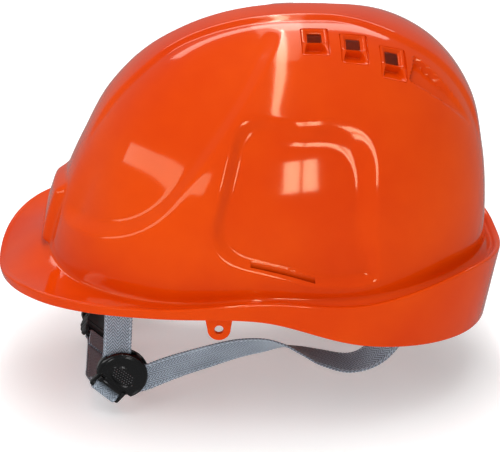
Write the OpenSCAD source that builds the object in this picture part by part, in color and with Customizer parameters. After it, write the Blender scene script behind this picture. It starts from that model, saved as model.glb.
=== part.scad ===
// Vented forestry helmet: shell, webbing cradle, headband with a ratchet nape
// adjuster, and a four-strap chin harness with dividers and a side-release buckle.
// Front faces -Y, the wearer's left is +X, +Z is up.
// The origin is the centre of the headband at the level of the shell's side rim.

/* [Shell] */
// Half width of the dome at its base
dome_half_w = 97; // [88:1:104]
// Length of the dome ahead of the headband's centre
dome_front = 123; // [112:1:130]
// Length of the dome behind the headband's centre
dome_rear = 137; // [125:1:145]
// Height of the dome above its base
dome_h = 132; // [120:1:145]
// Squareness of the dome, 2 is an ellipsoid
dome_n = 2.35; // [2:0.05:3]
// How far the crown sits behind the headband's centre
crown_shift = 26; // [0:1:35]
// How far the brow slopes back above the peak
brow_lean = 9; // [0:1:15]
// Shell wall
wall = 3; // [2.4:0.2:4]
// Height of the raised ridge along the crown
ridge_rise = 2; // [0:0.5:4]
// Depth of the recess on each side of the brow
brow_recess = 4; // [0:0.5:5]
// Depth of the flat panel on each side
panel_recess = 4.5; // [0:0.5:6]

/* [Openings] */
// Width of each vent hole
vent_w = 9; // [6:0.5:12]
// Length of the accessory slot on each side
slot_l = 36; // [30:1:38]
// Width of the accessory slot
slot_w = 2.6; // [2:0.1:4]
// Radius of the hole in each side lug
lug_bore_r = 2.5; // [2:0.1:3]

/* [Headband] */
// Radius of the band's front and rear arcs
band_r = 80; // [74:1:84]
// Half length of the band's straight sides
band_half_side = 18; // [10:1:24]
// Thickness of the band
band_t = 1.6; // [1.2:0.1:2.4]
// Bottom of the band
band_bottom = -8; // [-15:1:0]
// Height of the band
band_h = 32; // [26:1:38]

/* [Ratchet] */
// Height of the ratchet's axis
ratchet_z = -22; // [-26:1:-16]
// Radius of the hand knob
knob_r = 18; // [15:0.5:19]
// Pitch radius of the pinion
pitch_r = 5; // [5:1:5]
// Teeth on the pinion
pinion_teeth = 10; // [10:1:10]

/* [Harness] */
// Width of the chin webbing
web_w = 16; // [15:1:18]
// Thickness of the webbing
web_t = 1.2; // [1:0.1:1.6]
// Radius of each strap divider
divider_r = 15; // [13:0.5:17]

/* [Hidden] */
$fn = 48;
eps = 0.5;
gap = 0.3;
orange = [0.86, 0.25, 0.04];
black = [0.05, 0.05, 0.05];
grey = [0.42, 0.44, 0.48];

// Rim profile at every 30 degrees from the front (0) round to the rear (180).
base_z = [-2, -8, -9, -5, -8, -4, -2];
rim_w = [30, 29, 17, 10, 11, 12, 10];
rim_z = [-14, -6, -6, -3, -8, 0, -6];
hem_w = [29, 28, 16, 10, 9, 5, 2];
hem_z = [-18, -13, -12, -15, -34, -45, -48];
gutter = [0, 0, 1, 2, 3, 5, 5];
key_step = 30;
last_key = 6;

columns = 96;
outer_rows = 20;
inner_rows = 10;
top_angle = 86;

// Places of the fixed hardware.
front_anchor = [66, -81, -8];
rear_anchor = [69, 85, -12];
front_hanger_angle = 27;
rear_hanger_angle = 153;
front_hanger_inset = 11;
rear_hanger_inset = 7.5;
socket_w = 24;
socket_bottom = 4;
socket_top = 20;
tongue_t = 2.6;
tongue_w = 20;
tongue_bottom = -6;
tongue_top = 20.5;
cheek_y = 9;
cheek_t = 2.2;
peg_z = 14;
peg_r = 2.5;
bar_r = 1.6;
loop_in = 1.8;
loop_out = 3;
hanger_bar = [-5.5, -1];
lug_y = -25;
lug_x = 101;
lug_t = 3.4;
lug_hole_z = -19.5;
lug_r = 6.5;

// Ratchet layers, as radii about the rear arc's axis.
rear_axis_y = band_half_side;
plate_in = 79.6;
plate_out = 81.9;
left_in = 82.3;
left_out = 84.1;
right_in = 84.5;
right_out = 86.3;
cover_in = 86.7;
cover_out = 88.9;
knob_in = 89.3;
knob_len = 12;
arm_half_h = 10;
rack_half = 22.1;
tip_extra = 3;
tooth_pitch = 2 * PI * pitch_r / pinion_teeth;
rack_addendum = 0.7;
rack_dedendum = 1.1;
tip_clear = 0.9;
stud_angle = 22;
stud_slot_half = 12.9;
stud_z = 2;
stud_r = 2.5;
housing_half = 29;

// Divider and chin strap frame.
divider_at = [75, -80, -61];
divider_turn = -42;
chin_bar = [-2.5, -15.6];
flat_drop = -24;
buckle_x = -14;
buckle_w = 24;
buckle_h = 7.2;
plug_bar_x = buckle_x + 10;
socket_len = 23;
prong_root_x = buckle_x + 3;
prong_tip_x = buckle_x - 16;
prong_y = 8.6;
prong_t = 2;

// ---- helper functions ----
function fold(a) = a > 180 ? 360 - a : a;
function sstep(t) = let(c = min(1, max(0, t))) c * c * (3 - 2 * c);
function smin(a, b, r) = let(h = max(r - abs(a - b), 0) / r) min(a, b) - h * h * r / 4;

// Smooth curve through the profile's values, even about the front and the rear.
function key_at(list, a) =
  let(i = min(last_key - 1, floor(a / key_step)), f = a / key_step - i,
    p0 = list[abs(i - 1)], p1 = list[i], p2 = list[i + 1],
    p3 = list[i + 2 > last_key ? last_key - 1 : i + 2])
  p1 + 0.5 * f * ((p2 - p0) + f * ((2 * p0 - 5 * p1 + 4 * p2 - p3)
    + f * (3 * (p1 - p2) + p3 - p0)));

// Raised or sunk form of the dome at a point, positive outwards.
function ridge_half(y) = 13 + 12 * sstep((y - 40) / 50) + 5 * sstep((-y - 40) / 30);
function ridge(p) =
  ridge_rise * sstep((ridge_half(p.y) - abs(p.x)) / 4) * sstep((p.z - 55) / 30);
function brow_edge(p) =
  smin(p.z - 20 - 0.1 * (p.y + 105), 0.605 * (p.z - 56) - 0.796 * (p.y + 42), 25);
function brow(p) =
  let(s = brow_edge(p))
  brow_recess * sstep(s / 11) * (1 - 0.8 * sstep((s - 14) / 40))
    * (1 - 0.8 * sstep((p.z - 85) / 45))
    * sstep((abs(p.x) - 22) / 22) * sstep((abs(p.x) - ridge_half(p.y)) / 6);
function panel_edge(p) =
  smin(smin(0.967 * (p.y + 27) - 0.254 * (p.z - 40), 66 - p.y, 18),
    smin(0.268 * (p.y + 21) + 0.964 * (p.z - 17), 94 - p.z, 18), 18);
function panel(p) =
  panel_recess * sstep(panel_edge(p) / (6 + 10 * sstep((p.z - 20) / 60)));
function relief(p) = ridge(p) - brow(p) - panel(p);

function outline_r(a, inset) =
  let(b = (cos(a) > 0 ? dome_front : dome_rear) - inset, w = dome_half_w - inset)
  pow(pow(abs(sin(a)) / w, dome_n) + pow(abs(cos(a)) / b, dome_n), -1 / dome_n);
function wall_x(y, inset) =
  let(b = (y < 0 ? dome_front : dome_rear) - inset)
  (dome_half_w - inset) * pow(1 - pow(abs(y) / b, dome_n), 1 / dome_n);
function plain_point(a, t, inset) =
  let(c = cos(t), s = sin(t), ux = c * sin(a), uy = -c * cos(a),
    w = dome_half_w - inset, b = (uy < 0 ? dome_front : dome_rear) - inset,
    top = dome_h - inset,
    r = pow(pow(abs(ux) / w, dome_n) + pow(abs(uy) / b, dome_n)
      + pow(s / top, dome_n), -1 / dome_n),
    h = r * s / top, foot = key_at(base_z, fold(a)) - inset / 2)
  [r * ux, r * uy + crown_shift * h * h + brow_lean * sin(180 * h) * sstep(-r * uy / b),
    foot * (1 - h) + r * s];
function out_dir(p) =
  let(y = p.y - crown_shift * pow(p.z / dome_h, 2),
    v = [p.x / pow(dome_half_w, 2), y / pow(dome_rear, 2),
      max(0, p.z) / pow(dome_h, 2)])
  v / norm(v);
function dome_point(a, t, inset) =
  let(p = plain_point(a, t, inset)) p + relief(p) * out_dir(p);

// Rim section as [distance outside the dome's base, height].
function rim_section(a) =
  let(f = fold(a), w = key_at(rim_w, f), z = key_at(rim_z, f), hw = key_at(hem_w, f),
    hz = key_at(hem_z, f), g = key_at(gutter, f), b = key_at(base_z, f),
    mid = 0.55 * b + 0.45 * z - g)
  [[0.45 * w, mid], [w - 2.2, z - 0.2], [w - 0.6, z - 0.5], [w, z - 1.8], [hw, hz],
    [hw - wall, hz], [w - wall, z - wall - 0.6 * g], [0.45 * w, mid - wall]];
function rim_point(a, k) =
  let(q = rim_section(a)[k], r = outline_r(a, 0) + q[0]) [r * sin(a), -r * cos(a), q[1]];

// ---- shell ----
rim_rows = 8;
function ring_angle(i) = i * 360 / columns;
function outer_ring(k) = [for (i = [0 : columns - 1])
  dome_point(ring_angle(i), top_angle * (outer_rows - k) / outer_rows, 0)];
function rim_ring(k) = [for (i = [0 : columns - 1]) rim_point(ring_angle(i), k)];
function inner_ring(k) = [for (i = [0 : columns - 1])
  dome_point(ring_angle(i), top_angle * k / inner_rows, wall)];

module shell_skin() {
  rings = [for (k = [0 : outer_rows]) outer_ring(k),
    for (k = [0 : rim_rows - 1]) rim_ring(k),
    for (k = [0 : inner_rows]) inner_ring(k)];
  count = len(rings);
  points = [for (r = rings) each r, dome_point(0, 90, 0), dome_point(0, 90, wall)];
  outer_apex = count * columns;
  walls = [for (k = [0 : count - 2], i = [0 : columns - 1])
    let(j = (i + 1) % columns, a = k * columns + i, b = k * columns + j)
    each [[a, b, b + columns], [a, b + columns, a + columns]]];
  caps = [for (i = [0 : columns - 1]) let(j = (i + 1) % columns, d = (count - 1) * columns)
    each [[outer_apex, j, i], [outer_apex + 1, d + i, d + j]]];
  polyhedron(points, concat(walls, caps), convexity = 6);
}

module both_sides() {
  children();
  mirror([1, 0, 0])
    children();
}

// A bar along Y between two ribs that run out to the wall.
module strap_anchor(at) {
  rib_t = 2.4;
  rib_y = web_w / 2 + 0.4;
  translate([at.x, at.y + rib_y + rib_t, at.z])
    rotate([90, 0, 0])
      cylinder(r = bar_r, h = 2 * (rib_y + rib_t));
  for (y = [at.y - rib_y - rib_t, at.y + rib_y])
    translate([at.x - 2.5, y, at.z - 3.5])
      cube([wall_x(y + rib_t / 2, wall) + 2 - at.x + 2.5, rib_t, 10]);
}

// Distance of a hanger's slot from the origin, nearer in front, where the brow slopes.
function is_front(angle) = angle < 90;
function hanger_inset(angle) = is_front(angle) ? front_hanger_inset : rear_hanger_inset;
function hanger_r(angle) = outline_r(angle, wall) - hanger_inset(angle);

// Frame whose X runs outwards through a hanger's slot.
module hanger_frame(angle) {
  r = hanger_r(angle);
  translate([r * sin(angle), -r * cos(angle), 0])
    rotate([0, 0, angle - 90])
      children();
}

// Sector that ends inside the shell's wall, for one level of a socket.
module wall_sector(angle, t, bottom, top) {
  translate([0, 0, bottom])
    linear_extrude(top - bottom)
      polygon([[0, 0], for (a = [angle - 9 : 3 : angle + 9])
        let(p = dome_point(a, t, 0.7)) [p.x, p.y]]);
}

module hanger_socket(angle) {
  slot = tongue_t + 0.6;
  skin = 1.8;
  socket_mid = (socket_bottom + socket_top) / 2;
  difference() {
    intersection() {
      hanger_frame(angle)
        translate([-slot / 2 - skin, -socket_w / 2, socket_bottom])
          cube([24, socket_w, socket_top - socket_bottom]);
      union() {
        wall_sector(angle, 8, socket_bottom - 1, socket_mid);
        wall_sector(angle, 12, socket_mid - eps, socket_top + 1);
      }
    }
    hanger_frame(angle)
      translate([-slot / 2, -tongue_w / 2 - gap, socket_bottom - 1])
        cube([slot, tongue_w + 2 * gap, socket_top - socket_bottom + 2]);
  }
}

module side_lug() {
  translate([lug_x, lug_y, lug_hole_z])
    rotate([90, 0, 90])
      difference() {
        union() {
          cylinder(r = lug_r, h = lug_t);
          linear_extrude(lug_t)
            polygon([[-lug_r, 0], [lug_r, 0], [lug_r + 2, 12], [-lug_r - 2, 12]]);
        }
        translate([0, 0, -1])
          cylinder(r = lug_bore_r, h = lug_t + 2);
      }
}

vent_first = [36, 32];
vent_step = [3.5, 22];
vent_z = [126, 122, 115];
vent_tilt = [28, 30, 33];
vent_pitch = [4, 12, 20];

module vent_cuts() {
  for (i = [0 : 2])
    translate([vent_first.x + i * vent_step.x, vent_first.y + i * vent_step.y, vent_z[i]])
      rotate([-vent_pitch[i], vent_tilt[i], 0])
        cube([vent_w + 1, vent_w, 30], center = true);
}

slot_mid_y = 11;
slot_x = 92.7;
module accessory_slot_cut() {
  translate([slot_x, slot_mid_y - slot_l / 2, -20])
    cube([slot_w, slot_l, 45]);
}

// Slab under the panel's ledge, with its top parallel to the ledge.
module pocket_slab(from_x, to_x, rise) {
  half = slot_l / 2 + 2;
  translate([from_x, slot_mid_y, 0])
    rotate([90, 0, 90])
      linear_extrude(to_x - from_x)
        polygon([[-half, -9], [half, -9], [half, 0.5 + rise], [-half, 11 + rise]]);
}

// Backing that joins the slot's pocket to the wall.
module accessory_pocket() {
  pocket_slab(88.6, slot_x - 0.4, 4.7);
  pocket_slab(slot_x - 1, slot_x + 2.4, 0);
}

module shell() {
  color(orange)
    difference() {
      union() {
        shell_skin();
        both_sides() {
          side_lug();
          accessory_pocket();
          strap_anchor(front_anchor);
          strap_anchor(rear_anchor);
          hanger_socket(front_hanger_angle);
          hanger_socket(rear_hanger_angle);
        }
      }
      both_sides() {
        vent_cuts();
        accessory_slot_cut();
      }
    }
}

// ---- cradle ----
function band_reach(angle) =
  let(c = abs(cos(angle)) * band_half_side) c + sqrt(c * c + band_r * band_r
    - band_half_side * band_half_side);

// Side view of a hanger's cheek: from the tongue in and up to the leg at -reach.
module hanger(angle) {
  reach = hanger_r(angle) - band_reach(angle) - band_t - 0.7;
  peg_len = band_t + 0.6;
  hanger_frame(angle) {
    translate([-tongue_t / 2, -tongue_w / 2, tongue_bottom])
      cube([tongue_t, tongue_w, tongue_top - tongue_bottom]);
    translate([-tongue_t / 2, -socket_w / 2, tongue_bottom])
      cube([tongue_t, socket_w, socket_bottom - 0.6 - tongue_bottom]);
    for (y = [-cheek_y - cheek_t, cheek_y])
      translate([0, y + cheek_t, 0])
        rotate([90, 0, 0])
          linear_extrude(cheek_t)
            polygon([[0, -6], [0, 3], [-4, 3], [-4, 18], [-reach, 18], [-reach, 10],
              [-9, 10], [-9, -4], [-7, -6]]);
    translate([hanger_bar[0], cheek_y + eps, hanger_bar[1]])
      rotate([90, 0, 0])
        cylinder(r = bar_r, h = 2 * (cheek_y + eps));
    translate([-reach, -cheek_y - cheek_t, 10])
      cube([1.7, 2 * (cheek_y + cheek_t), 8]);
    translate([-reach - peg_len, 0, peg_z])
      rotate([0, 90, 0])
        cylinder(r = peg_r, h = peg_len + 1);
  }
}

// A webbing strap over the crown in the plane of two opposite hangers. It rises from
// above each hanger's bar, and a ring round the bar stands for its sewn loop.
cradle_steps = 28;
cradle_n = 2.4;
function soft_power(v) = sign(v) * pow(abs(v), 2 / cradle_n);
module cradle_strap(rise) {
  front_r = hanger_r(front_hanger_angle) + hanger_bar[0];
  rear_r = hanger_r(rear_hanger_angle) + hanger_bar[0];
  mid = (front_r - rear_r) / 2;
  half = (front_r + rear_r) / 2;
  first = 0.7;
  arc = [for (i = [0 : cradle_steps]) first + (180 - 2 * first) * i / cradle_steps];
  function at(t, off) = [mid + (half + off) * soft_power(cos(t)),
    hanger_bar[1] + (rise + off) * soft_power(sin(t))];
  color(black)
    rotate([0, 0, front_hanger_angle - 90])
      translate([0, web_w / 2, 0])
        rotate([90, 0, 0])
          linear_extrude(web_w)
            difference() {
              union() {
                polygon([for (t = arc) at(t, web_t / 2),
                  for (i = [cradle_steps : -1 : 0]) at(arc[i], -web_t / 2)]);
                for (x = [front_r, -rear_r])
                  translate([x, hanger_bar[1]])
                    circle(r = loop_out);
              }
              for (x = [front_r, -rear_r])
                translate([x, hanger_bar[1]])
                  circle(r = loop_in);
            }
}

cradle_rise = 98;
cross_gap = 0.5;
module crown_patch() {
  patch_r = 17;
  color(black)
    translate([0, 4, hanger_bar[1] + cradle_rise + 3 * web_t / 2 + cross_gap + gap])
      difference() {
        cylinder(r = patch_r, h = 1.4);
        translate([0, 0, -1])
          cylinder(r = 3, h = 4);
      }
}

// ---- headband ----
module sector(r_in, r_out, from, to, bottom, top) {
  translate([0, 0, bottom])
    rotate([0, 0, from])
      rotate_extrude(angle = to - from, $fn = 180)
        translate([r_in, 0])
          square([r_out - r_in, top - bottom]);
}

module peg_holes(angle) {
  both_sides()
    hanger_frame(angle)
      translate([-60, 0, peg_z])
        rotate([0, 90, 0])
          cylinder(r = peg_r + 0.1, h = 60);
}

module headband() {
  rear_end = 60;
  stud_out = right_out + 0.4;
  color(black) {
    difference() {
      union() {
        translate([0, -band_half_side, 0])
          sector(band_r, band_r + band_t, 180, 360, band_bottom, band_bottom + band_h);
        translate([0, band_half_side, 0]) {
          sector(band_r, band_r + band_t, 0, rear_end, band_bottom, band_bottom + band_h);
          sector(band_r, band_r + band_t, 180 - rear_end, 180, band_bottom,
            band_bottom + band_h);
        }
        both_sides()
          translate([band_r, -band_half_side, band_bottom])
            cube([band_t, 2 * band_half_side, band_h]);
      }
      peg_holes(front_hanger_angle);
      peg_holes(rear_hanger_angle);
    }
    for (a = [stud_angle, 180 - stud_angle])
      translate([0, band_half_side, stud_z])
        rotate([0, 90, a]) {
          translate([0, 0, band_r + band_t / 2])
            cylinder(r = stud_r, h = stud_out - band_r - band_t / 2);
          translate([0, 0, stud_out])
            cylinder(r = stud_r + 2, h = 1.2);
        }
  }
}

module brow_sweatband() {
  color(black)
    translate([0, -band_half_side, 0])
      sector(76.8, band_r - gap, 205, 335, band_bottom - 2, band_bottom + band_h + 2);
}

module nape_pad() {
  color(black)
    translate([0, rear_axis_y, 0])
      sector(76.6, plate_in - gap, 66, 114, ratchet_z - 14, ratchet_z + 14);
}

// ---- ratchet ----
// Turns its child, drawn along +X, to point out from the rear arc's axis.
module at_rear(arc_angle) {
  translate([0, rear_axis_y, ratchet_z])
    rotate([0, 0, arc_angle])
      children();
}

// One gap of the rack, cut straight outwards. The gap is wider at its mouth.
module rack_gap(r_in, r_out, side) {
  mouth = 0.5 * tooth_pitch + 0.62;
  root = 0.5 * tooth_pitch - 0.3;
  tip_z = pitch_r - rack_addendum;
  root_z = pitch_r + rack_dedendum;
  translate([r_in - 1, 0, 0])
    rotate([90, 0, 90])
      linear_extrude(r_out - r_in + 2)
        polygon([[-mouth / 2, side * (tip_z - 0.2)], [mouth / 2, side * (tip_z - 0.2)],
          [root / 2, side * root_z], [-root / 2, side * root_z]]);
}

// A band end drawn for the left side: level over the knob, rising to the ear.
// side is 1 when the teeth hang from the slot's top edge, -1 for the bottom edge.
module rack_arm(r_in, r_out, side) {
  tip = rack_half + tip_extra;
  low = ratchet_z - arm_half_h;
  high = ratchet_z + arm_half_h;
  side_low = stud_z - arm_half_h;
  side_high = stud_z + arm_half_h - 2.5;
  open_top = side > 0 ? pitch_r - rack_addendum : pitch_r + 1 + tip_clear;
  open_bottom = side > 0 ? -pitch_r - 1 - tip_clear : -pitch_r + rack_addendum;
  half_angle = rack_half / r_in * 180 / PI;
  teeth = floor(rack_half / tooth_pitch);
  color(black)
    difference() {
      intersection() {
        translate([0, rear_axis_y, 0])
          sector(r_in, r_out, 5, 110, low - 1, side_high + 1);
        translate([0, 130, 0])
          rotate([90, 0, 0])
            linear_extrude(130)
              polygon([[-tip, low + 2], [-tip + 2, low], [49, low], [68, side_low],
                [90, side_low], [90, side_high], [65, side_high], [45, high],
                [-tip + 2, high], [-tip, high - 2]]);
      }
      translate([0, rear_axis_y, ratchet_z])
        sector(r_in - 1, r_out + 1, 90 - half_angle, 90 + half_angle, open_bottom, open_top);
      for (i = [-teeth : teeth])
        at_rear(90 + (i + 0.5) * tooth_pitch / r_in * 180 / PI)
          if (abs(i + 0.5) * tooth_pitch < rack_half - 1)
            rack_gap(r_in, r_out, side);
      translate([0, rear_axis_y, stud_z])
        sector(r_in - 1, r_out + 1, stud_angle - stud_slot_half + 1.8,
          stud_angle + stud_slot_half - 1.8, -stud_r - 0.2, stud_r + 0.2);
      for (a = [stud_angle - stud_slot_half + 1.8, stud_angle + stud_slot_half - 1.8])
        translate([0, rear_axis_y, stud_z])
          rotate([0, 90, a])
            cylinder(r = stud_r + 0.2, h = 100);
    }
}

module ratchet_base() {
  rail = 5;
  from = 90 - housing_half;
  to = 90 + housing_half;
  color(black)
    difference() {
      translate([0, rear_axis_y, ratchet_z]) {
        sector(plate_in, plate_out, from, to, -arm_half_h - gap - rail,
          arm_half_h + gap + rail);
        sector(plate_out - eps, cover_in - 0.1, from + 8, to - 8,
          -arm_half_h - gap - rail, -arm_half_h - gap);
        sector(plate_out - eps, cover_in - 0.1, from + 8, to - 8,
          arm_half_h + gap, arm_half_h + gap + rail);
      }
      at_rear(90)
        rotate([0, 90, 0])
          cylinder(r = 2.1, h = 100);
    }
}

module ratchet_cover() {
  color(black)
    difference() {
      union() {
        translate([0, rear_axis_y, ratchet_z])
          sector(cover_in, cover_out, 90 - housing_half + 8, 90 + housing_half - 8,
            -arm_half_h - gap - 5, arm_half_h + gap + 5);
        at_rear(90)
          rotate([0, 90, 0])
            translate([0, 0, cover_in + 1])
              cylinder(r = 15.2, h = cover_out - cover_in - 1);
      }
      at_rear(90)
        rotate([0, 90, 0])
          cylinder(r = 3.3, h = 100);
      at_rear(90)
        rotate([0, 90, 0])
          translate([0, 0, cover_out - 1])
            difference() {
              cylinder(r = 14, h = 3);
              for (i = [0 : 23])
                rotate([0, 0, i * 15])
                  translate([14, 0, -1])
                    cylinder(r = 0.8, h = 5);
            }
    }
}

module ratchet_pinion() {
  root_r = 3.7;
  tip_r = 5.7;
  gear_in = plate_out + 0.2;
  gear_len = cover_in - 0.2 - gear_in;
  half_turn = 180 / pinion_teeth;
  color(black)
    at_rear(90)
      rotate([0, 90, 0]) {
        translate([0, 0, plate_in])
          cylinder(r = 2.05, h = gear_in - plate_in + eps);
        translate([0, 0, gear_in]) {
          cylinder(r = root_r, h = gear_len);
          for (i = [0 : pinion_teeth - 1])
            rotate([0, 0, (2 * i + 1) * half_turn])
              linear_extrude(gear_len)
                polygon([[root_r - 0.4, -0.95], [root_r + 0.1, -0.85], [pitch_r, -0.55],
                  [tip_r, -0.3], [tip_r, 0.3], [pitch_r, 0.55], [root_r + 0.1, 0.85],
                  [root_r - 0.4, 0.95]]);
        }
        difference() {
          translate([0, 0, gear_in + gear_len - eps])
            cylinder(r = 3.22, h = knob_in + 6 - gear_in - gear_len + eps);
          translate([0, 0, knob_in - 2])
            cylinder(r = 1.5, h = 12);
        }
      }
}

module ratchet_click_spring() {
  color(black)
    at_rear(90)
      rotate([0, 90, 0])
        translate([0, 0, cover_out - 0.8])
          difference() {
            union() {
              cylinder(r = 5.5, h = 1.1);
              for (a = [0, 180])
                rotate([0, 0, a]) {
                  translate([0, -1, 0])
                    cube([11.8, 2, 1.1]);
                  translate([11.9, 0, 0])
                    cylinder(r = 1, h = 1.1);
                }
            }
            translate([0, 0, -1])
              cylinder(r = 3.3, h = 4);
          }
}

module ratchet_knob() {
  grips = 14;
  color(black)
    at_rear(90)
      rotate([0, 90, 0])
        translate([0, 0, knob_in])
          difference() {
            union() {
              cylinder(r = knob_r, h = knob_len - 2);
              cylinder(r = knob_r - 3, h = knob_len);
            }
            for (i = [0 : grips - 1])
              rotate([0, 0, i * 360 / grips])
                translate([knob_r + 1.8, 0, -1])
                  cylinder(r = 3, h = knob_len + 2);
            translate([0, 0, -1])
              cylinder(r = 3.3, h = 8);
            translate([0, 0, -1])
              cylinder(r = 1.7, h = knob_len + 2);
            translate([0, 0, knob_len - 2.2])
              cylinder(r = 3.4, h = 3);
          }
}

module knob_screw() {
  color(grey)
    at_rear(90)
      rotate([0, 90, 0]) {
        translate([0, 0, knob_in - 1.5])
          cylinder(r = 1.45, h = knob_len - 0.5);
        difference() {
          translate([0, 0, knob_in + knob_len - 2.1])
            cylinder(r = 3, h = 1.6);
          for (a = [0, 90])
            rotate([0, 0, a])
              translate([-2, -0.35, knob_in + knob_len - 1.2])
                cube([4, 0.7, 2]);
        }
      }
}

// ---- harness ----
// A flat strap through hand-set centres, each with the way its width runs.
function unit(v) = v / norm(v);
module ribbon(stops) {
  last = len(stops) - 1;
  function tangent(i) = unit(stops[min(last, i + 1)][0] - stops[max(0, i - 1)][0]);
  function across(i) = let(w = stops[i][1], t = tangent(i)) unit(w - (w * t) * t);
  points = [for (i = [0 : last])
    let(c = stops[i][0], w = across(i) * web_w / 2, n = cross(tangent(i), across(i)) * web_t / 2)
    each [c + w + n, c - w + n, c - w - n, c + w - n]];
  sides = [for (i = [0 : last - 1], k = [0 : 3])
    let(a = 4 * i + k, b = 4 * i + (k + 1) % 4) each [[b, a, b + 4], [b + 4, a, a + 4]]];
  ends = [[0, 1, 2], [0, 2, 3], [4 * last + 2, 4 * last + 1, 4 * last],
    [4 * last + 3, 4 * last + 2, 4 * last]];
  polyhedron(points, concat(sides, ends), convexity = 4);
}

module bar_loop(at) {
  width = web_w - 0.2;
  translate([at.x, at.y + width / 2, at.z])
    rotate([90, 0, 0])
      linear_extrude(width)
        difference() {
          circle(r = loop_out + 0.2);
          circle(r = loop_out + 0.2 - web_t);
        }
}

front_stops = [
  [front_anchor + [2.5, 0, -0.4], [0, 1, 0]],
  [[69.4, -81, -20], [0, 1, 0]],
  [[71.4, -81.8, -34], [0, 1, 0.05]],
  [[73.2, -82.6, -46], [0, 1, 0.07]],
  [[73.7, -83, -50], [0, 1, 0.07]],
  [[73.7, -83.5, -57], [0, 1, 0.07]]];

rear_stops = [
  [[75.2, -73, -65], [0, -0.1, 1]],
  [[75, -66, -63], [0, -0.1, 1]],
  [[72.5, -56, -60.5], [0.05, -0.1, 1]],
  [[70, -44, -57.5], [0.15, -0.15, 1]],
  [[69, -28, -53], [0.25, -0.1, 0.95]],
  [[69, -12, -49], [0.4, -0.1, 0.9]],
  [[69.5, 2, -47], [0.6, 0, 0.8]],
  [[70, 13, -47.5], [0.85, 0, 0.5]],
  [[70.6, 24, -51], [1, 0, 0.15]],
  [[71, 35, -55], [1, 0, -0.15]],
  [[72, 52, -58.5], [0.95, 0, -0.3]],
  [[73, 66, -52], [0.8, 0.48, -0.36]],
  [[72.8, 77, -38], [0.5, 0.7, -0.45]],
  [[71.8, 83, -26], [0.15, 0.95, -0.2]],
  [rear_anchor + [2.5, 0, -0.4], [0, 1, 0]]];

module front_strap() {
  color(grey) {
    ribbon(front_stops);
    bar_loop(front_anchor);
  }
}

module rear_strap() {
  color(grey) {
    ribbon(rear_stops);
    bar_loop(rear_anchor);
  }
}

// X runs outwards, Y along the chin bar and Z away from it.
module divider_frame() {
  translate(divider_at)
    rotate([divider_turn, 0, 0])
      children();
}

module disc_x(r, from, to) {
  translate([from, 0, 0])
    rotate([0, 90, 0])
      cylinder(r = r, h = to - from, $fn = 96);
}

lid_pin = [1.7, -9.4];
pin_r = 0.8;

module divider_body() {
  back = -4;
  plate_t = 1.7;
  ring_top = 0.9;
  bar_half = 10.5;
  color(black)
    divider_frame()
      union() {
        difference() {
          union() {
            disc_x(divider_r, back, ring_top);
            translate([back, -bar_half, chin_bar[1]])
              cube([3, 2 * bar_half, 8]);
          }
          intersection() {
            disc_x(divider_r - 1.3, back + plate_t, ring_top + 1);
            translate([back, -20, -7])
              cube([20, 40, 40]);
          }
          rotate([-divider_turn, 0, 0]) {
            translate([back + plate_t, -12, 0])
              cube([6, web_w + 1, 30]);
            translate([back + plate_t, 0, -11.4])
              cube([6, 30, web_w + 1.8]);
          }
          translate([-0.4, -7, lid_pin[1] - 1.9])
            cube([4, 14, 3.8]);
          translate([-10, -web_w / 2 - 0.5, chin_bar[1] - 1])
            cube([20, web_w + 1, 4.8]);
        }
        translate([chin_bar[0], -bar_half, chin_bar[1]])
          rotate([-90, 0, 0])
            cylinder(r = bar_r, h = 2 * bar_half);
        for (y = [-9.2, 7])
          translate([-0.6, y, lid_pin[1] - 1.5])
            cube([3.6, 2.2, 2.6]);
        translate([lid_pin[0], -9, lid_pin[1]])
          rotate([-90, 0, 0])
            cylinder(r = pin_r, h = 18);
      }
}

module divider_lid() {
  lid_r = divider_r - 0.2;
  lid_in = 1.2;
  lid_out = 3.2;
  thumb_r = 6.5;
  color(black)
    divider_frame()
      difference() {
        union() {
          difference() {
            intersection() {
              disc_x(lid_r, lid_in, lid_out);
              translate([0, -20, -7.6])
                cube([10, 40, 40]);
            }
            disc_x(lid_r - 1.4, lid_out - 0.6, lid_out + 1);
          }
          translate([lid_pin[0], -6.7, lid_pin[1]])
            rotate([-90, 0, 0])
              cylinder(r = 1.5, h = 13.4);
          translate([lid_in, -6.7, lid_pin[1]])
            cube([1.4, 13.4, 3]);
          translate([lid_out - 0.9, 0, 1])
            rotate([0, 90, 0])
              cylinder(r = thumb_r, h = 1.2);
        }
        translate([lid_pin[0], -10, lid_pin[1]])
          rotate([-90, 0, 0])
            cylinder(r = pin_r + 0.06, h = 20);
      }
}

// Chin strap frame: X across the face, Y along the webbing's width.
module chin_frame() {
  translate([0, divider_at.y, divider_at.z])
    rotate([divider_turn, 0, 0])
      children();
}

// Extrudes a side view, drawn in X and Z, over a width centred on the webbing.
module side_slab(width) {
  translate([0, width / 2, 0])
    rotate([90, 0, 0])
      linear_extrude(width)
        children();
}

bar_x = divider_at.x + chin_bar[0];
module web_end_outline(to_x) {
  h = web_t / 2;
  difference() {
    union() {
      translate([bar_x, chin_bar[1]])
        circle(r = loop_out);
      polygon([[bar_x, chin_bar[1] - loop_out], [bar_x, chin_bar[1] - loop_out + web_t],
        [68, chin_bar[1] - 2.6 + h], [60, flat_drop + 3 + h], [50, flat_drop + h],
        [to_x, flat_drop + h], [to_x, flat_drop - h], [50.2, flat_drop - h],
        [60.4, flat_drop + 3 - h], [68, chin_bar[1] - 2.6 - h]]);
    }
    translate([bar_x, chin_bar[1]])
      circle(r = loop_in);
  }
}

module web_loop_outline(x) {
  translate([x, flat_drop])
    difference() {
      circle(r = loop_out);
      circle(r = loop_in);
    }
}

module chin_web_left() {
  color(grey)
    chin_frame()
      side_slab(web_w) {
        web_end_outline(plug_bar_x + loop_out - eps);
        web_loop_outline(plug_bar_x);
      }
}

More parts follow.
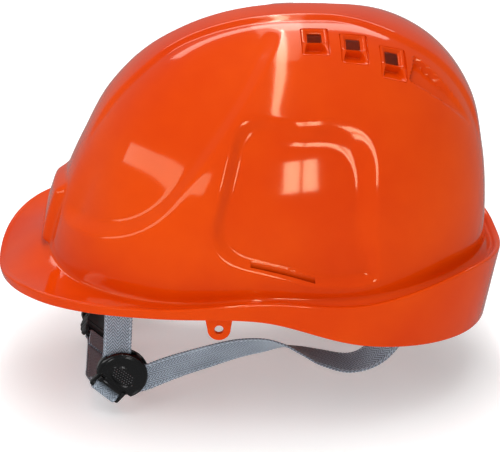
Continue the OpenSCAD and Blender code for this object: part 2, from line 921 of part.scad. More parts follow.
socket_bar_x = buckle_x - socket_len - 5;
module chin_web_right() {
  color(grey)
    mirror([1, 0, 0])
      chin_frame()
        side_slab(web_w) {
          web_end_outline(-socket_bar_x + loop_out - eps);
          web_loop_outline(-socket_bar_x);
        }
}

// A square frame end that holds a webbing bar, from x = 0 towards -x or +x.
module bar_frame(from_x, to_x, bar_at) {
  low = min(from_x, to_x);
  high = max(from_x, to_x);
  cheek = 2.6;
  for (y = [-buckle_w / 2, buckle_w / 2 - cheek])
    translate([low, y, flat_drop - 2.2])
      cube([high - low, cheek, 4.4]);
  translate([bar_at, -buckle_w / 2 + 1, flat_drop])
    rotate([-90, 0, 0])
      cylinder(r = bar_r, h = buckle_w - 2);
}

cavity_end = buckle_x - 18;
module buckle_socket() {
  color(black)
    chin_frame() {
      difference() {
        translate([buckle_x - socket_len, -buckle_w / 2, flat_drop - buckle_h / 2])
          cube([socket_len, buckle_w, buckle_h]);
        translate([cavity_end, -10.4, flat_drop - 2.2])
          cube([buckle_x - cavity_end + 1, 20.8, 4.4]);
        translate([cavity_end + 1, -20, flat_drop - 2.2])
          cube([11, 40, 4.4]);
      }
      bar_frame(socket_bar_x - 2, buckle_x - socket_len + eps, socket_bar_x);
    }
}

module buckle_plug() {
  base_x = buckle_x + gap;
  color(black)
    chin_frame() {
      difference() {
        translate([base_x, -buckle_w / 2, flat_drop - buckle_h / 2])
          cube([5, buckle_w, buckle_h]);
        for (side = [-1, 1])
          translate([base_x - 1, side * prong_y - 1.8, flat_drop - 2])
            cube([4.9, 3.6, 4]);
      }
      for (side = [-1, 1])
        translate([prong_root_x, side * prong_y, flat_drop - 2.5])
          cylinder(r = 0.5, h = 5);
      bar_frame(base_x + 5 - eps, plug_bar_x + 2, plug_bar_x);
    }
}

// One prong; side is 1 for the prong towards the throat.
module buckle_prong(side) {
  color(black)
    chin_frame()
      translate([0, 0, flat_drop - 1.8])
        difference() {
          linear_extrude(3.6)
            polygon([[prong_root_x + 0.8, side * (prong_y - 1)],
                [prong_root_x + 0.8, side * (prong_y + 1)],
                [prong_tip_x + 6, side * (prong_y + 1)], [prong_tip_x + 5.8, side * 10.9],
                [prong_tip_x + 3, side * 10.9], [prong_tip_x, side * (prong_y + 0.6)],
                [prong_tip_x, side * (prong_y - 1)]]);
          translate([prong_root_x, side * prong_y, -1])
            cylinder(r = 0.55, h = 6);
        }
}

// ---- one line for each node ----
shell();
color(black) hanger(front_hanger_angle);  // hanger_front_left
mirror([1, 0, 0]) color(black) hanger(front_hanger_angle);  // hanger_front_right
color(black) hanger(rear_hanger_angle);  // hanger_rear_left
mirror([1, 0, 0]) color(black) hanger(rear_hanger_angle);  // hanger_rear_right
cradle_strap(cradle_rise);  // cradle_strap_left
mirror([1, 0, 0]) cradle_strap(cradle_rise + web_t + cross_gap);  // cradle_strap_right
crown_patch();
headband();
brow_sweatband();
nape_pad();
rack_arm(left_in, left_out, 1);  // rack_arm_left
mirror([1, 0, 0]) rack_arm(right_in, right_out, -1);  // rack_arm_right
ratchet_base();
ratchet_cover();
ratchet_pinion();
ratchet_click_spring();
ratchet_knob();
knob_screw();
front_strap();  // front_strap_left
mirror([1, 0, 0]) front_strap();  // front_strap_right
rear_strap();  // rear_strap_left
mirror([1, 0, 0]) rear_strap();  // rear_strap_right
divider_body();  // divider_body_left
mirror([1, 0, 0]) divider_body();  // divider_body_right
divider_lid();  // divider_lid_left
mirror([1, 0, 0]) divider_lid();  // divider_lid_right
chin_web_left();
chin_web_right();
buckle_socket();
buckle_plug();
buckle_prong(1);  // buckle_prong_rear
buckle_prong(-1);  // buckle_prong_front
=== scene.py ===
import math

import bmesh
import bpy
import numpy as np
from mathutils import Matrix, Vector


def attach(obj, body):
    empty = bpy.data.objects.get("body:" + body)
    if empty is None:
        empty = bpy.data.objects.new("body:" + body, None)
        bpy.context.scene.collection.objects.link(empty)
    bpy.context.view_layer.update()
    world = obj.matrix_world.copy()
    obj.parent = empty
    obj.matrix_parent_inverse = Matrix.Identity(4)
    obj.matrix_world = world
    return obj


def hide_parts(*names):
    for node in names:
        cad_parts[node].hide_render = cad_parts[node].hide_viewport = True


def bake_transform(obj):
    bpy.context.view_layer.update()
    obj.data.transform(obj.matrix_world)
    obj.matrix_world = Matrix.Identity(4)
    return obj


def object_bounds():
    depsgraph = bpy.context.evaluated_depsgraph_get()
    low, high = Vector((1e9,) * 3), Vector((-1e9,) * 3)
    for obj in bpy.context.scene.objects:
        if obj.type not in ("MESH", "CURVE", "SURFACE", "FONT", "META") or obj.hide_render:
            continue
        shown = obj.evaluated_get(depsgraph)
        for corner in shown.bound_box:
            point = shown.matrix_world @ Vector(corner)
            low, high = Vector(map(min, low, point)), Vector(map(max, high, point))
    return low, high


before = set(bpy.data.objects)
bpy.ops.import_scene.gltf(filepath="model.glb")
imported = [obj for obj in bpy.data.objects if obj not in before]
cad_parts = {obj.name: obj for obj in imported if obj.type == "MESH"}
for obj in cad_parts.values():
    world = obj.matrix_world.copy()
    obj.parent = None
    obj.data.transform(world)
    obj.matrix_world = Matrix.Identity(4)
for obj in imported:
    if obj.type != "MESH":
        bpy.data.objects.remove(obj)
cad_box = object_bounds()
MM = 0.001
X, Y, Z = Vector((1, 0, 0)), Vector((0, 1, 0)), Vector((0, 0, 1))


def linked(name, data):
    """A new object of the scene that holds this data."""
    obj = bpy.data.objects.new(name, data)
    bpy.context.scene.collection.objects.link(obj)
    return obj


def point_at(obj, place_at, aim):
    """Puts a camera or a light in its place and turns it to its aim."""
    obj.location = place_at
    obj.rotation_euler = (Vector(aim) - Vector(place_at)).to_track_quat("-Z", "Y").to_euler()


# ---------------- camera
CAMERA_AT = (1.0792, -0.0566, 0.4633)
CAMERA_AIM = (0.0225, -0.0037, 0.0078)
camera_data = bpy.data.cameras.new("camera")
camera_data.lens = 140.8
camera_data.sensor_width = 36
camera_data.clip_start = 0.05
camera_data.clip_end = 60
camera = linked("camera", camera_data)
point_at(camera, CAMERA_AT, CAMERA_AIM)
bpy.context.scene.camera = camera


# ---------------- node helpers
class Nodes:
    """A short way to build one material's node tree."""

    def __init__(self, name):
        self.material = bpy.data.materials.new(name)
        self.material.use_nodes = True
        self.tree = self.material.node_tree
        self.tree.nodes.clear()
        out = self.tree.nodes.new("ShaderNodeOutputMaterial")
        self.shader = self.tree.nodes.new("ShaderNodeBsdfPrincipled")
        self.tree.links.new(self.shader.outputs[0], out.inputs[0])

    def add(self, kind, inputs=None, **settings):
        node = self.tree.nodes.new("ShaderNode" + kind)
        for key, value in settings.items():
            setattr(node, key, value)
        for key, value in (inputs or {}).items():
            self.put(node.inputs[key], value)
        return node

    def put(self, socket, value):
        if isinstance(value, bpy.types.NodeSocket):
            self.tree.links.new(value, socket)
        else:
            socket.default_value = value

    def math(self, operation, a, b=0.0, c=0.0):
        node = self.add("Math", operation=operation)
        for socket, value in zip(node.inputs, (a, b, c)):
            self.put(socket, value)
        return node.outputs[0]

    def times(self, a, b):
        return self.math("MULTIPLY", a, b)

    def plus(self, a, b):
        return self.math("ADD", a, b)

    def wave(self, value, pitch):
        """A sine wave over a length in metres, with its pitch in millimetres."""
        return self.math("SINE", self.times(value, 2 * math.pi / (pitch * MM)))

    def spread(self, value, low, high):
        """A value from 0 to 1 spread between low and high."""
        return self.add("MapRange", {"Value": value, "To Min": low, "To Max": high}).outputs[0]

    def ramp(self, value, stops):
        node = self.add("ValToRGB", {0: value})
        elements = node.color_ramp.elements
        while len(elements) < len(stops):
            elements.new(0.5)
        for element, (place, colour) in zip(elements, stops):
            element.position = place
            element.color = (*colour, 1)
        return node.outputs[0]

    def mix(self, factor, a, b):
        node = self.add("Mix", data_type="RGBA")
        self.put(node.inputs[0], factor)
        self.put(node.inputs[6], a if isinstance(a, bpy.types.NodeSocket) else (*a, 1))
        self.put(node.inputs[7], b if isinstance(b, bpy.types.NodeSocket) else (*b, 1))
        return node.outputs[2]

    def noise(self, scale, detail, roughness):
        inputs = {"Scale": scale, "Detail": detail, "Roughness": roughness}
        inputs["Vector"] = self.add("TexCoord").outputs["Object"]
        return self.add("TexNoise", inputs).outputs["Fac"]

    def bump(self, height, strength, distance, normal=None):
        inputs = {"Strength": strength, "Distance": distance, "Height": height}
        node = self.add("Bump", inputs)
        if normal is not None:
            self.put(node.inputs["Normal"], normal)
        return node.outputs[0]

    def shade(self, **values):
        for key, value in values.items():
            self.put(self.shader.inputs[key.replace("_", " ")], value)
        return self.material


GLOSS_TINT = (1.0, 0.84, 0.46, 1.0)


def moulded_gloss(name, dark, light, rough_low, rough_high, coat):
    """Polished moulded plastic: faint flow in its colour, soft ripple, fine scuffs."""
    n = Nodes(name)
    flow = n.noise(9.0, 4.0, 0.55)
    colour = n.ramp(flow, [(0.35, dark), (0.68, light)])
    scuff = n.noise(420.0, 5.0, 0.7)
    patch = n.noise(26.0, 2.0, 0.5)
    worn = n.times(n.math("GREATER_THAN", scuff, 0.63), patch)
    rough = n.plus(n.spread(patch, rough_low, rough_high), n.times(worn, 0.12))
    ripple = n.bump(n.noise(55.0, 1.0, 0.4), 0.10, 0.0006)
    grain = n.bump(scuff, 0.03, 0.0001, ripple)
    return n.shade(Base_Color=colour, Roughness=rough, Normal=grain, IOR=1.5, Specular_IOR_Level=0.34,
                   Specular_Tint=GLOSS_TINT, Coat_Weight=coat, Coat_Roughness=0.035)


def moulded_matt(name, dark, light, rough_low, rough_high, grain_size=900.0, grain=0.25):
    """Spark-textured moulded plastic."""
    n = Nodes(name)
    flow = n.noise(14.0, 3.0, 0.5)
    fine = n.noise(grain_size, 3.0, 0.6)
    dust = n.noise(70.0, 4.0, 0.65)
    colour = n.ramp(n.plus(n.times(flow, 0.6), n.times(dust, 0.4)), [(0.38, dark), (0.64, light)])
    return n.shade(Base_Color=colour, Roughness=n.spread(dust, rough_low, rough_high),
                   Normal=n.bump(fine, grain, 0.0002), IOR=1.48)


def webbing(name, dark, light, rib):
    """Herringbone webbing with a rib in millimetres. Its coordinates run across and along it, in metres."""
    n = Nodes(name)
    uv = n.add("UVMap", uv_map="cloth").outputs[0]
    split = n.add("SeparateXYZ", {0: uv})
    across, along = split.outputs[0], split.outputs[1]
    chevron = n.math("PINGPONG", across, 2.7 * MM)
    slanted = n.plus(along, n.times(chevron, 1.3))
    weave = n.plus(n.times(n.wave(slanted, rib), 0.36), n.times(n.wave(across, 0.9), 0.12))
    fuzz = n.noise(1500.0, 3.0, 0.7)
    tone = n.plus(n.plus(weave, 0.5), n.times(n.plus(fuzz, -0.5), 0.5))
    broad = n.noise(45.0, 3.0, 0.6)
    tone = n.plus(tone, n.times(n.plus(broad, -0.5), 0.7))
    colour = n.ramp(tone, [(0.1, dark), (0.95, light)])
    in_stitch_row = n.math("COMPARE", n.math("ABSOLUTE", across), 6.9 * MM, 0.3 * MM)
    stitches = n.times(in_stitch_row, n.math("GREATER_THAN", n.wave(along, 2.6), -0.1))
    pale = tuple(min(1.0, c * 1.12 + 0.01) for c in light)
    colour = n.mix(stitches, colour, pale)
    height = n.plus(tone, n.times(stitches, 0.8))
    return n.shade(Base_Color=colour, Roughness=0.72, Sheen_Weight=0.25, Sheen_Roughness=0.4,
                   Normal=n.bump(height, 0.7, 0.0003))


def pad_cloth(name, dark, light):
    """Brushed knit over foam."""
    n = Nodes(name)
    cells = n.add("TexVoronoi", {"Scale": 520.0, "Vector": n.add("TexCoord").outputs["Object"]})
    loops = cells.outputs["Distance"]
    fuzz = n.noise(260.0, 4.0, 0.7)
    worn = n.noise(24.0, 3.0, 0.6)
    tone = n.plus(n.times(loops, 0.5), n.times(worn, 0.5))
    colour = n.ramp(tone, [(0.2, dark), (0.75, light)])
    height = n.plus(loops, n.times(fuzz, 0.6))
    return n.shade(Base_Color=colour, Roughness=0.92, Sheen_Weight=0.4, Sheen_Roughness=0.5,
                   Normal=n.bump(height, 0.55, 0.0004))


def screw_steel(name):
    """Zinc-plated steel with turned marks."""
    n = Nodes(name)
    marks = n.noise(300.0, 4.0, 0.6)
    colour = n.ramp(marks, [(0.3, (0.42, 0.43, 0.45)), (0.7, (0.62, 0.63, 0.64))])
    return n.shade(Base_Color=colour, Metallic=1.0, Roughness=n.spread(marks, 0.25, 0.42),
                   Normal=n.bump(marks, 0.15, 0.0001))


ORANGE = moulded_gloss("shell_orange", (0.62, 0.037, 0.0005), (0.73, 0.064, 0.0010), 0.06, 0.11, 0.10)
BLACK = moulded_matt("harness_black", (0.008, 0.008, 0.009), (0.018, 0.018, 0.020), 0.40, 0.58)
RATCHET = moulded_matt("ratchet_black", (0.012, 0.012, 0.013), (0.026, 0.026, 0.028), 0.36, 0.55)
DIVIDER = moulded_matt("divider_black", (0.0018, 0.0018, 0.0022), (0.0045, 0.0045, 0.005),
                       0.10, 0.20, 700.0, 0.03)
# The grip dots are painted a lighter black than the lid: a painted highlight that stands in for the glint
# each small dot catches.
DOTS_PAINTED_HIGHLIGHT = moulded_matt("divider_dots_painted_highlight", (0.03, 0.03, 0.032), (0.07, 0.07, 0.074), 0.16, 0.30, 700.0, 0.03)
BUCKLE = moulded_matt("buckle_black", (0.008, 0.008, 0.009), (0.018, 0.018, 0.020), 0.34, 0.50, 800.0, 0.15)
CHIN = webbing("chin_webbing_grey", (0.085, 0.106, 0.132), (0.37, 0.44, 0.52), rib=1.9)
CRADLE = webbing("cradle_webbing_black", (0.008, 0.008, 0.010), (0.045, 0.046, 0.052), rib=1.4)
PAD = pad_cloth("sweat_cloth", (0.010, 0.010, 0.012), (0.045, 0.045, 0.05))
STEEL = screw_steel("screw_steel")


# ---------------- mesh helpers
def finish_shading(mesh, smooth_angle):
    """Smooth faces, with sharp edges above an angle in degrees."""
    mesh.polygons.foreach_set("use_smooth", [True] * len(mesh.polygons))
    mesh.set_sharp_from_angle(angle=math.radians(smooth_angle))
    mesh.update()


def out_faces(obj, weld=None):
    """Makes the faces point outwards, after joining points that are closer than weld millimetres."""
    work = bmesh.new()
    work.from_mesh(obj.data)
    if weld:
        bmesh.ops.remove_doubles(work, verts=work.verts, dist=weld * MM)
    bmesh.ops.recalc_face_normals(work, faces=work.faces)
    work.to_mesh(obj.data)
    work.free()
    obj.data.update()


def make_object(name, points, faces, material, smooth_angle):
    """A closed mesh object from points in millimetres."""
    mesh = bpy.data.meshes.new(name)
    mesh.from_pydata([tuple(float(c) * MM for c in p) for p in points], [], faces)
    mesh.update()
    mesh.materials.append(material)
    finish_shading(mesh, smooth_angle)
    obj = linked(name, mesh)
    out_faces(obj)
    return obj


def bands(rings, steps, start=0):
    """The faces between closed rings of points that are numbered ring by ring from start."""
    return [[start + k * steps + i, start + (k + 1) * steps + i,
             start + (k + 1) * steps + (i + 1) % steps, start + k * steps + (i + 1) % steps]
            for k in range(rings - 1) for i in range(steps)]


def place(obj, matrix):
    """Moves the mesh itself, with a matrix whose places are in millimetres."""
    m = matrix.copy()
    m.translation = m.translation * MM
    obj.data.transform(m)
    obj.data.update()
    return obj


def mirrored(obj, name):
    """A copy on the other side."""
    twin = obj.copy()
    twin.data = obj.data.copy()
    twin.name = twin.data.name = name
    bpy.context.scene.collection.objects.link(twin)
    twin.data.transform(Matrix.Scale(-1, 4, X))
    twin.data.flip_normals()
    twin.data.update()
    return twin


def from_bmesh(work, name, materials):
    """An object from finished bmesh work."""
    mesh = bpy.data.meshes.new(name)
    work.to_mesh(mesh)
    work.free()
    for material in materials:
        mesh.materials.append(material)
    return linked(name, mesh)


def beads(name, shapes, radius, material):
    """Many small round beads, each with its own matrix in metres."""
    work = bmesh.new()
    for shape in shapes:
        bmesh.ops.create_icosphere(work, subdivisions=2, radius=radius, matrix=shape)
    obj = from_bmesh(work, name, [material])
    finish_shading(obj.data, 60)
    return obj


def joined(objects, name):
    """One object from several."""
    work = bmesh.new()
    materials = []
    for o in objects:
        start = len(work.faces)
        for m in o.data.materials:
            if m not in materials:
                materials.append(m)
        work.from_mesh(o.data)
        work.faces.ensure_lookup_table()
        own = [materials.index(m) for m in o.data.materials]
        for face in work.faces[start:]:
            face.material_index = own[min(face.material_index, len(own) - 1)]
    for o in objects:
        bpy.data.objects.remove(o)
    return from_bmesh(work, name, materials)


def result_mesh(obj):
    """The mesh that a curve or an object's modifiers give."""
    graph = bpy.context.evaluated_depsgraph_get()
    return bpy.data.meshes.new_from_object(obj.evaluated_get(graph), depsgraph=graph)


def apply_modifiers(obj):
    """Replaces an object's modifiers by their result."""
    mesh, old = result_mesh(obj), obj.data
    obj.modifiers.clear()
    obj.data = mesh
    bpy.data.meshes.remove(old)


def plate(name, outlines, thickness, material, matrix, bevel=0.4):
    """A flat part from closed outlines in millimetres, holes included, with rounded edges.

    Its middle plane is z = 0 before the matrix moves it."""
    curve = bpy.data.curves.new(name + "_line", "CURVE")
    curve.dimensions = "2D"
    curve.fill_mode = "BOTH"
    curve.extrude = max(0.0, thickness / 2 - bevel) * MM
    curve.bevel_depth = bevel * MM
    curve.bevel_resolution = 2
    curve.offset = -bevel * MM
    for outline in outlines:
        spline = curve.splines.new("POLY")
        spline.points.add(len(outline) - 1)
        for point, (x, y) in zip(spline.points, outline):
            point.co = (x * MM, y * MM, 0, 1)
        spline.use_cyclic_u = True
    temp = linked(name + "_temp", curve)
    mesh = result_mesh(temp)
    bpy.data.objects.remove(temp)
    mesh.materials.clear()
    mesh.materials.append(material)
    obj = linked(name, mesh)
    out_faces(obj, 0.01)
    finish_shading(obj.data, 40)
    return place(obj, matrix)


def polar(r, angle):
    """The point at a radius, and at an angle in degrees."""
    return r * math.cos(math.radians(angle)), r * math.sin(math.radians(angle))


def arc(r, start, end, steps):
    """Points on an arc about the origin, angles in degrees."""
    return [polar(r, angle) for angle in np.linspace(start, end, steps)]


def circle(r, steps=40):
    return arc(r, 0, 360 - 360 / steps, steps)


def bend(a, corner, b, steps):
    """Points on a curve from a to b that bends towards the corner."""
    return [a * (1 - t) ** 2 + corner * (2 * t * (1 - t)) + b * t * t
            for t in (k / steps for k in range(steps + 1))]


def rounded(points, radius, steps=5):
    """A closed outline with its corners rounded."""
    out = []
    count = len(points)
    for i, corner in enumerate(points):
        c = Vector(corner)
        before = Vector(points[i - 1]) - c
        after = Vector(points[(i + 1) % count]) - c
        r = min(radius, 0.45 * before.length, 0.45 * after.length)
        curve = bend(c + before.normalized() * r, c, c + after.normalized() * r, steps)
        out += [(p.x, p.y) for p in curve]
    return out


def box_outline(x0, x1, y0, y1, radius=1.0):
    return rounded([(x0, y0), (x1, y0), (x1, y1), (x0, y1)], radius)


def axes(origin, x, y, z):
    """A matrix with these axes and this origin, in millimetres."""
    m = Matrix((x, y, z)).transposed().to_4x4()
    m.translation = origin
    return m


def rod(name, start, end, radius, material, steps=20, cap=0.4):
    """A round bar with rounded ends, in millimetres."""
    a, b = Vector(start), Vector(end)
    along = (b - a).normalized()
    side = along.orthogonal().normalized()
    other = along.cross(side)
    length = (b - a).length
    rings = [(0, radius - cap), (cap * 0.3, radius - cap * 0.3), (cap, radius),
             (length - cap, radius), (length - cap * 0.3, radius - cap * 0.3), (length, radius - cap)]
    points = []
    for d, r in rings:
        for i in range(steps):
            t = 2 * math.pi * i / steps
            points.append(a + along * d + side * (r * math.cos(t)) + other * (r * math.sin(t)))
    last = (len(rings) - 1) * steps
    faces = bands(len(rings), steps) + [list(range(steps))[::-1], list(range(last, last + steps))]
    return make_object(name, points, faces, material, 50)


# ---------------- shell surface
HALF_W, FRONT, REAR, HEIGHT, SQUARE = 97.0, 123.0, 137.0, 132.0, 2.35
CROWN_SHIFT, BROW_LEAN, WALL = 26.0, 9.0, 3.0
# The profile every 30 degrees from the front to the back, in millimetres.
BASE_Z = [-2, -8, -9, -5, -8, -4, -2]
RIM_W = [30, 29, 17, 10, 11, 12, 10]
RIM_Z = [-14, -6, -6, -3, -8, 0, -6]
HEM_W = [29, 28, 16, 10, 9, 5, 2]
HEM_Z = [-18, -13, -12, -15, -34, -45, -48]
GUTTER = [0, 0, 1, 2, 3, 5, 5]
RIDGE_RISE, BROW_DEPTH, PANEL_DEPTH, SCOOP_DEPTH, PAD_RISE = 2.0, 5.2, 4.5, 4.2, 5.0


def sstep(t):
    """A smooth step from 0 to 1."""
    c = np.clip(t, 0, 1)
    return c * c * (3 - 2 * c)


def unit(v):
    """Vectors of length 1 in the same directions."""
    return v / np.linalg.norm(v, axis=-1, keepdims=True)


def hump(x, centre, width):
    """A smooth rise from 0 to 1 and back about a centre."""
    return np.exp(-((x - centre) / width) ** 2)


def smin(a, b, r):
    """The lower of two values, blended over r where they meet."""
    h = np.maximum(r - np.abs(a - b), 0) / r
    return np.minimum(a, b) - h * h * r / 4


def through(p0, p1, p2, p3, f):
    """A smooth curve's point, a part f of the way from p1 to p2, with the points before and after."""
    square = 2 * p0 - 5 * p1 + 4 * p2 - p3
    cube = 3 * (p1 - p2) + p3 - p0
    return p1 + 0.5 * f * ((p2 - p0) + f * (square + f * cube))


def key_at(values, angle):
    """The profile's value at angles in degrees from the front."""
    a = np.where(angle > 180, 360 - angle, angle)
    i = np.minimum(5, np.floor(a / 30)).astype(int)
    v = np.array(values, float)
    return through(v[np.abs(i - 1)], v[i], v[i + 1], v[np.where(i + 2 > 6, 5, i + 2)], a / 30 - i)


def ridge_half(y):
    """Half the width of the ridge along the crown."""
    return 13 + 12 * sstep((y - 40) / 50) + 5 * sstep((-y - 40) / 30)


def wall_curve(s, run, soft):
    """Goes from 0 to 1 over run, straight in the middle and rounded over soft at both ends."""
    t = smin(np.maximum(s, -3 * soft), run + 0 * s, 2 * soft)
    t = -smin(-t, 0 * s, 2 * soft)
    return np.clip(t / run, 0, 1)


def groove(p, start, end, half, depth, fade):
    """A scoop that starts hard at one end and tapers away along a straight run."""
    s, e = np.array(start, float), np.array(end, float)
    d = unit(e - s)
    side = unit(np.cross(d, np.array([0.75, 0.3, 0.6])))
    u = (p - s) @ d
    v = (p - s) @ side
    width = half * np.clip(1 - u / (1.15 * fade), 0.05, 1)
    return depth * sstep((u + 0.8) / 1.6) * sstep(1.15 - u / fade) * sstep((width - np.abs(v)) / 1.6 + 0.5)


def relief(p):
    """Raised and sunk forms of the dome, positive outwards. p is an array of points."""
    x, y, z = np.abs(p[..., 0]), p[..., 1], p[..., 2]
    ridge = RIDGE_RISE * wall_curve(ridge_half(y) + 1.2 - x, 2.6, 0.8) * sstep((z - 55) / 30)
    s = smin(z - 20 - 0.1 * (y + 105), 0.605 * (z - 56) - 0.796 * (y + 42), 25)
    brow = (BROW_DEPTH * wall_curve(s, 6.5, 0.7) * (1 - 0.9 * sstep((s - 8) / 40))
            * (1 - 0.45 * sstep((z - 90) / 45)) * sstep((x - 20) / 24)
            * sstep((x - ridge_half(y)) / 6))
    left = 0.967 * (y + 27) - 0.254 * (z - 40)
    right = 66 - y
    low = 0.268 * (y + 21) + 0.964 * (z - 17)
    high = 94 - z
    hard = smin(left, low, 22)
    soft = smin(right, high, 26)
    edge = smin(hard, soft, 12)
    softness = sstep((hard - soft) / 30)
    steep = wall_curve(edge, 4.2, 0.9)
    gentle = sstep(edge / 14)
    panel = PANEL_DEPTH * (steep * (1 - softness) + gentle * softness) * sstep((z + 2) / 8)
    mirror = np.stack([x, y, z], axis=-1)
    scoop = groove(mirror, (43, 89, 111), (30, 124, 66), 8.5, SCOOP_DEPTH, 46)
    pad = PAD_RISE * sstep((22 - x) / 6) * sstep((z + 6) / 8) * sstep((37 - z) / 9) * (y < 0)
    return ridge - brow - panel - scoop + pad


def outward(p):
    y = p[..., 1] - CROWN_SHIFT * (p[..., 2] / HEIGHT) ** 2
    v = np.stack([p[..., 0] / HALF_W ** 2, y / REAR ** 2, np.maximum(0, p[..., 2]) / HEIGHT ** 2], axis=-1)
    return unit(v)


def plain_point(a, t, inset):
    """A point of the smooth dome. a is the angle round from the front, t the angle up from the base."""
    ar, tr = np.radians(a), np.radians(t)
    c, s = np.cos(tr), np.sin(tr)
    ux, uy = c * np.sin(ar), -c * np.cos(ar)
    w, top = HALF_W - inset, HEIGHT - inset
    b = np.where(uy < 0, FRONT, REAR) - inset
    powers = (np.abs(ux) / w) ** SQUARE + (np.abs(uy) / b) ** SQUARE + (np.abs(s) / top) ** SQUARE
    r = powers ** (-1 / SQUARE)
    h = r * s / top
    foot = key_at(BASE_Z, a) - inset / 2
    lean = BROW_LEAN * np.sin(math.pi * h) * sstep(-r * uy / b)
    return np.stack([r * ux, r * uy + CROWN_SHIFT * h * h + lean, foot * (1 - h) + r * s], axis=-1)


def dome_point(a, t, inset):
    p = plain_point(a, t, inset)
    return p + relief(p)[..., None] * outward(p)


def outline_r(angle, inset=0.0):
    """The radius of the base's outline at angles from the front."""
    a = np.radians(angle)
    b = np.where(np.cos(a) > 0, FRONT, REAR) - inset
    powers = (np.abs(np.sin(a)) / (HALF_W - inset)) ** SQUARE + (np.abs(np.cos(a)) / b) ** SQUARE
    return powers ** (-1 / SQUARE)


def filleted(points, radii, steps):
    """Rounds the inner corners of an open line of points. Every point is an array over the columns."""
    line = [points[0]]
    for i in range(1, len(points) - 1):
        before, corner, after = points[i - 1], points[i], points[i + 1]
        la = np.linalg.norm(before - corner, axis=-1, keepdims=True)
        lb = np.linalg.norm(after - corner, axis=-1, keepdims=True)
        r = np.minimum(radii[i], 0.48 * np.minimum(la, lb))
        line += bend(corner + (before - corner) / la * r, corner, corner + (after - corner) / lb * r, steps)
    line.append(points[-1])
    return line


COLUMNS = 480
ROWS = 132
INNER_ROWS = 60


def build_shell():
    """The shell in one skin: the dome, the rim with its gutter and hem, and the inner face."""
    angles = np.arange(COLUMNS) * 360.0 / COLUMNS
    tops = np.linspace(88.5, 1.4, ROWS)
    outer = [dome_point(angles, t, 0.0) for t in tops]
    w, z = key_at(RIM_W, angles), key_at(RIM_Z, angles)
    hw, hz = key_at(HEM_W, angles), key_at(HEM_Z, angles)
    g, b = key_at(GUTTER, angles), key_at(BASE_Z, angles)
    mid = 0.55 * b + 0.45 * z - g
    zero = 0 * w
    start_r = np.hypot(outer[-1][:, 0], outer[-1][:, 1]) - outline_r(angles)
    section = [
        (start_r, outer[-1][:, 2]), (zero + 0.3, b), (0.45 * w, mid), (w - 3.2, z - 0.3), (w, z),
        (hw, hz), (hw - WALL, hz), (w - WALL - 0.3, z - WALL - 0.6 * g), (0.45 * w, mid - WALL),
        (zero - WALL, b - WALL / 2)]
    radii = [0, 2.2, 6.0, 2.5, 1.5, 1.1, 1.1, 3.0, 6.0, 0]
    steps = filleted([np.stack(q, axis=-1) for q in section], radii, 4)
    base = outline_r(angles)
    rim = []
    for q in steps[1:]:
        r = base + q[:, 0]
        x, y = r * np.sin(np.radians(angles)), -r * np.cos(np.radians(angles))
        rim.append(np.stack([x, y, q[:, 1]], axis=-1))
    inner = [dome_point(angles, t, WALL) for t in np.linspace(1.5, 88, INNER_ROWS)]
    rings = outer + rim + inner
    crowns = [dome_point(np.zeros(1), 90.0, inset) for inset in (0.0, WALL)]
    points = np.concatenate(rings + crowns)
    apex, last = len(rings) * COLUMNS, (len(rings) - 1) * COLUMNS
    faces = bands(len(rings), COLUMNS)
    for i in range(COLUMNS):
        j = (i + 1) % COLUMNS
        faces += [[apex, i, j], [apex + 1, last + j, last + i]]
    return make_object("helmet_shell", points, faces, ORANGE, 60)


def surface_frame(x, y, lift):
    """The frame a little off the dome above (x, y), with fore-aft, up-slope and outward axes."""
    a, t = np.meshgrid(np.linspace(5, 175, 341), np.linspace(30, 89, 237), indexing="ij")
    p = plain_point(a, t, 0.0)
    nearest = np.argmin((p[..., 0] - x) ** 2 + (p[..., 1] - y) ** 2)
    a, t = a.ravel()[[nearest]], t.ravel()[[nearest]]
    centre = plain_point(a, t, 0.0)[0]
    da = plain_point(a + 0.5, t, 0.0)[0] - plain_point(a - 0.5, t, 0.0)[0]
    dt = plain_point(a, t + 0.5, 0.0)[0] - plain_point(a, t - 0.5, 0.0)[0]
    n = Vector(np.cross(da, dt)).normalized()
    fore = (Y - n * n.y).normalized()
    return axes(Vector(centre) + n * lift, fore, n.cross(fore), n)


VENTS = [(36, 32), (39.5, 54), (43, 76)]
VENT_HALF_U, VENT_HALF_V = 8.0, 11.5
HOLE_HALF_U, HOLE_HALF_V, HOLE_V = 4.1, 4.7, 4.3
TRAY_T, FRAME_SINK = 1.5, 1.5


def cutter(name, outline, low, high, matrix):
    """A straight prism between two heights, to cut with."""
    n = len(outline)
    points = [(x, y, low) for x, y in outline] + [(x, y, high) for x, y in outline]
    faces = [list(range(n))[::-1], list(range(n, 2 * n)), *bands(2, n)]
    return place(make_object(name, points, faces, ORANGE, 35), matrix)


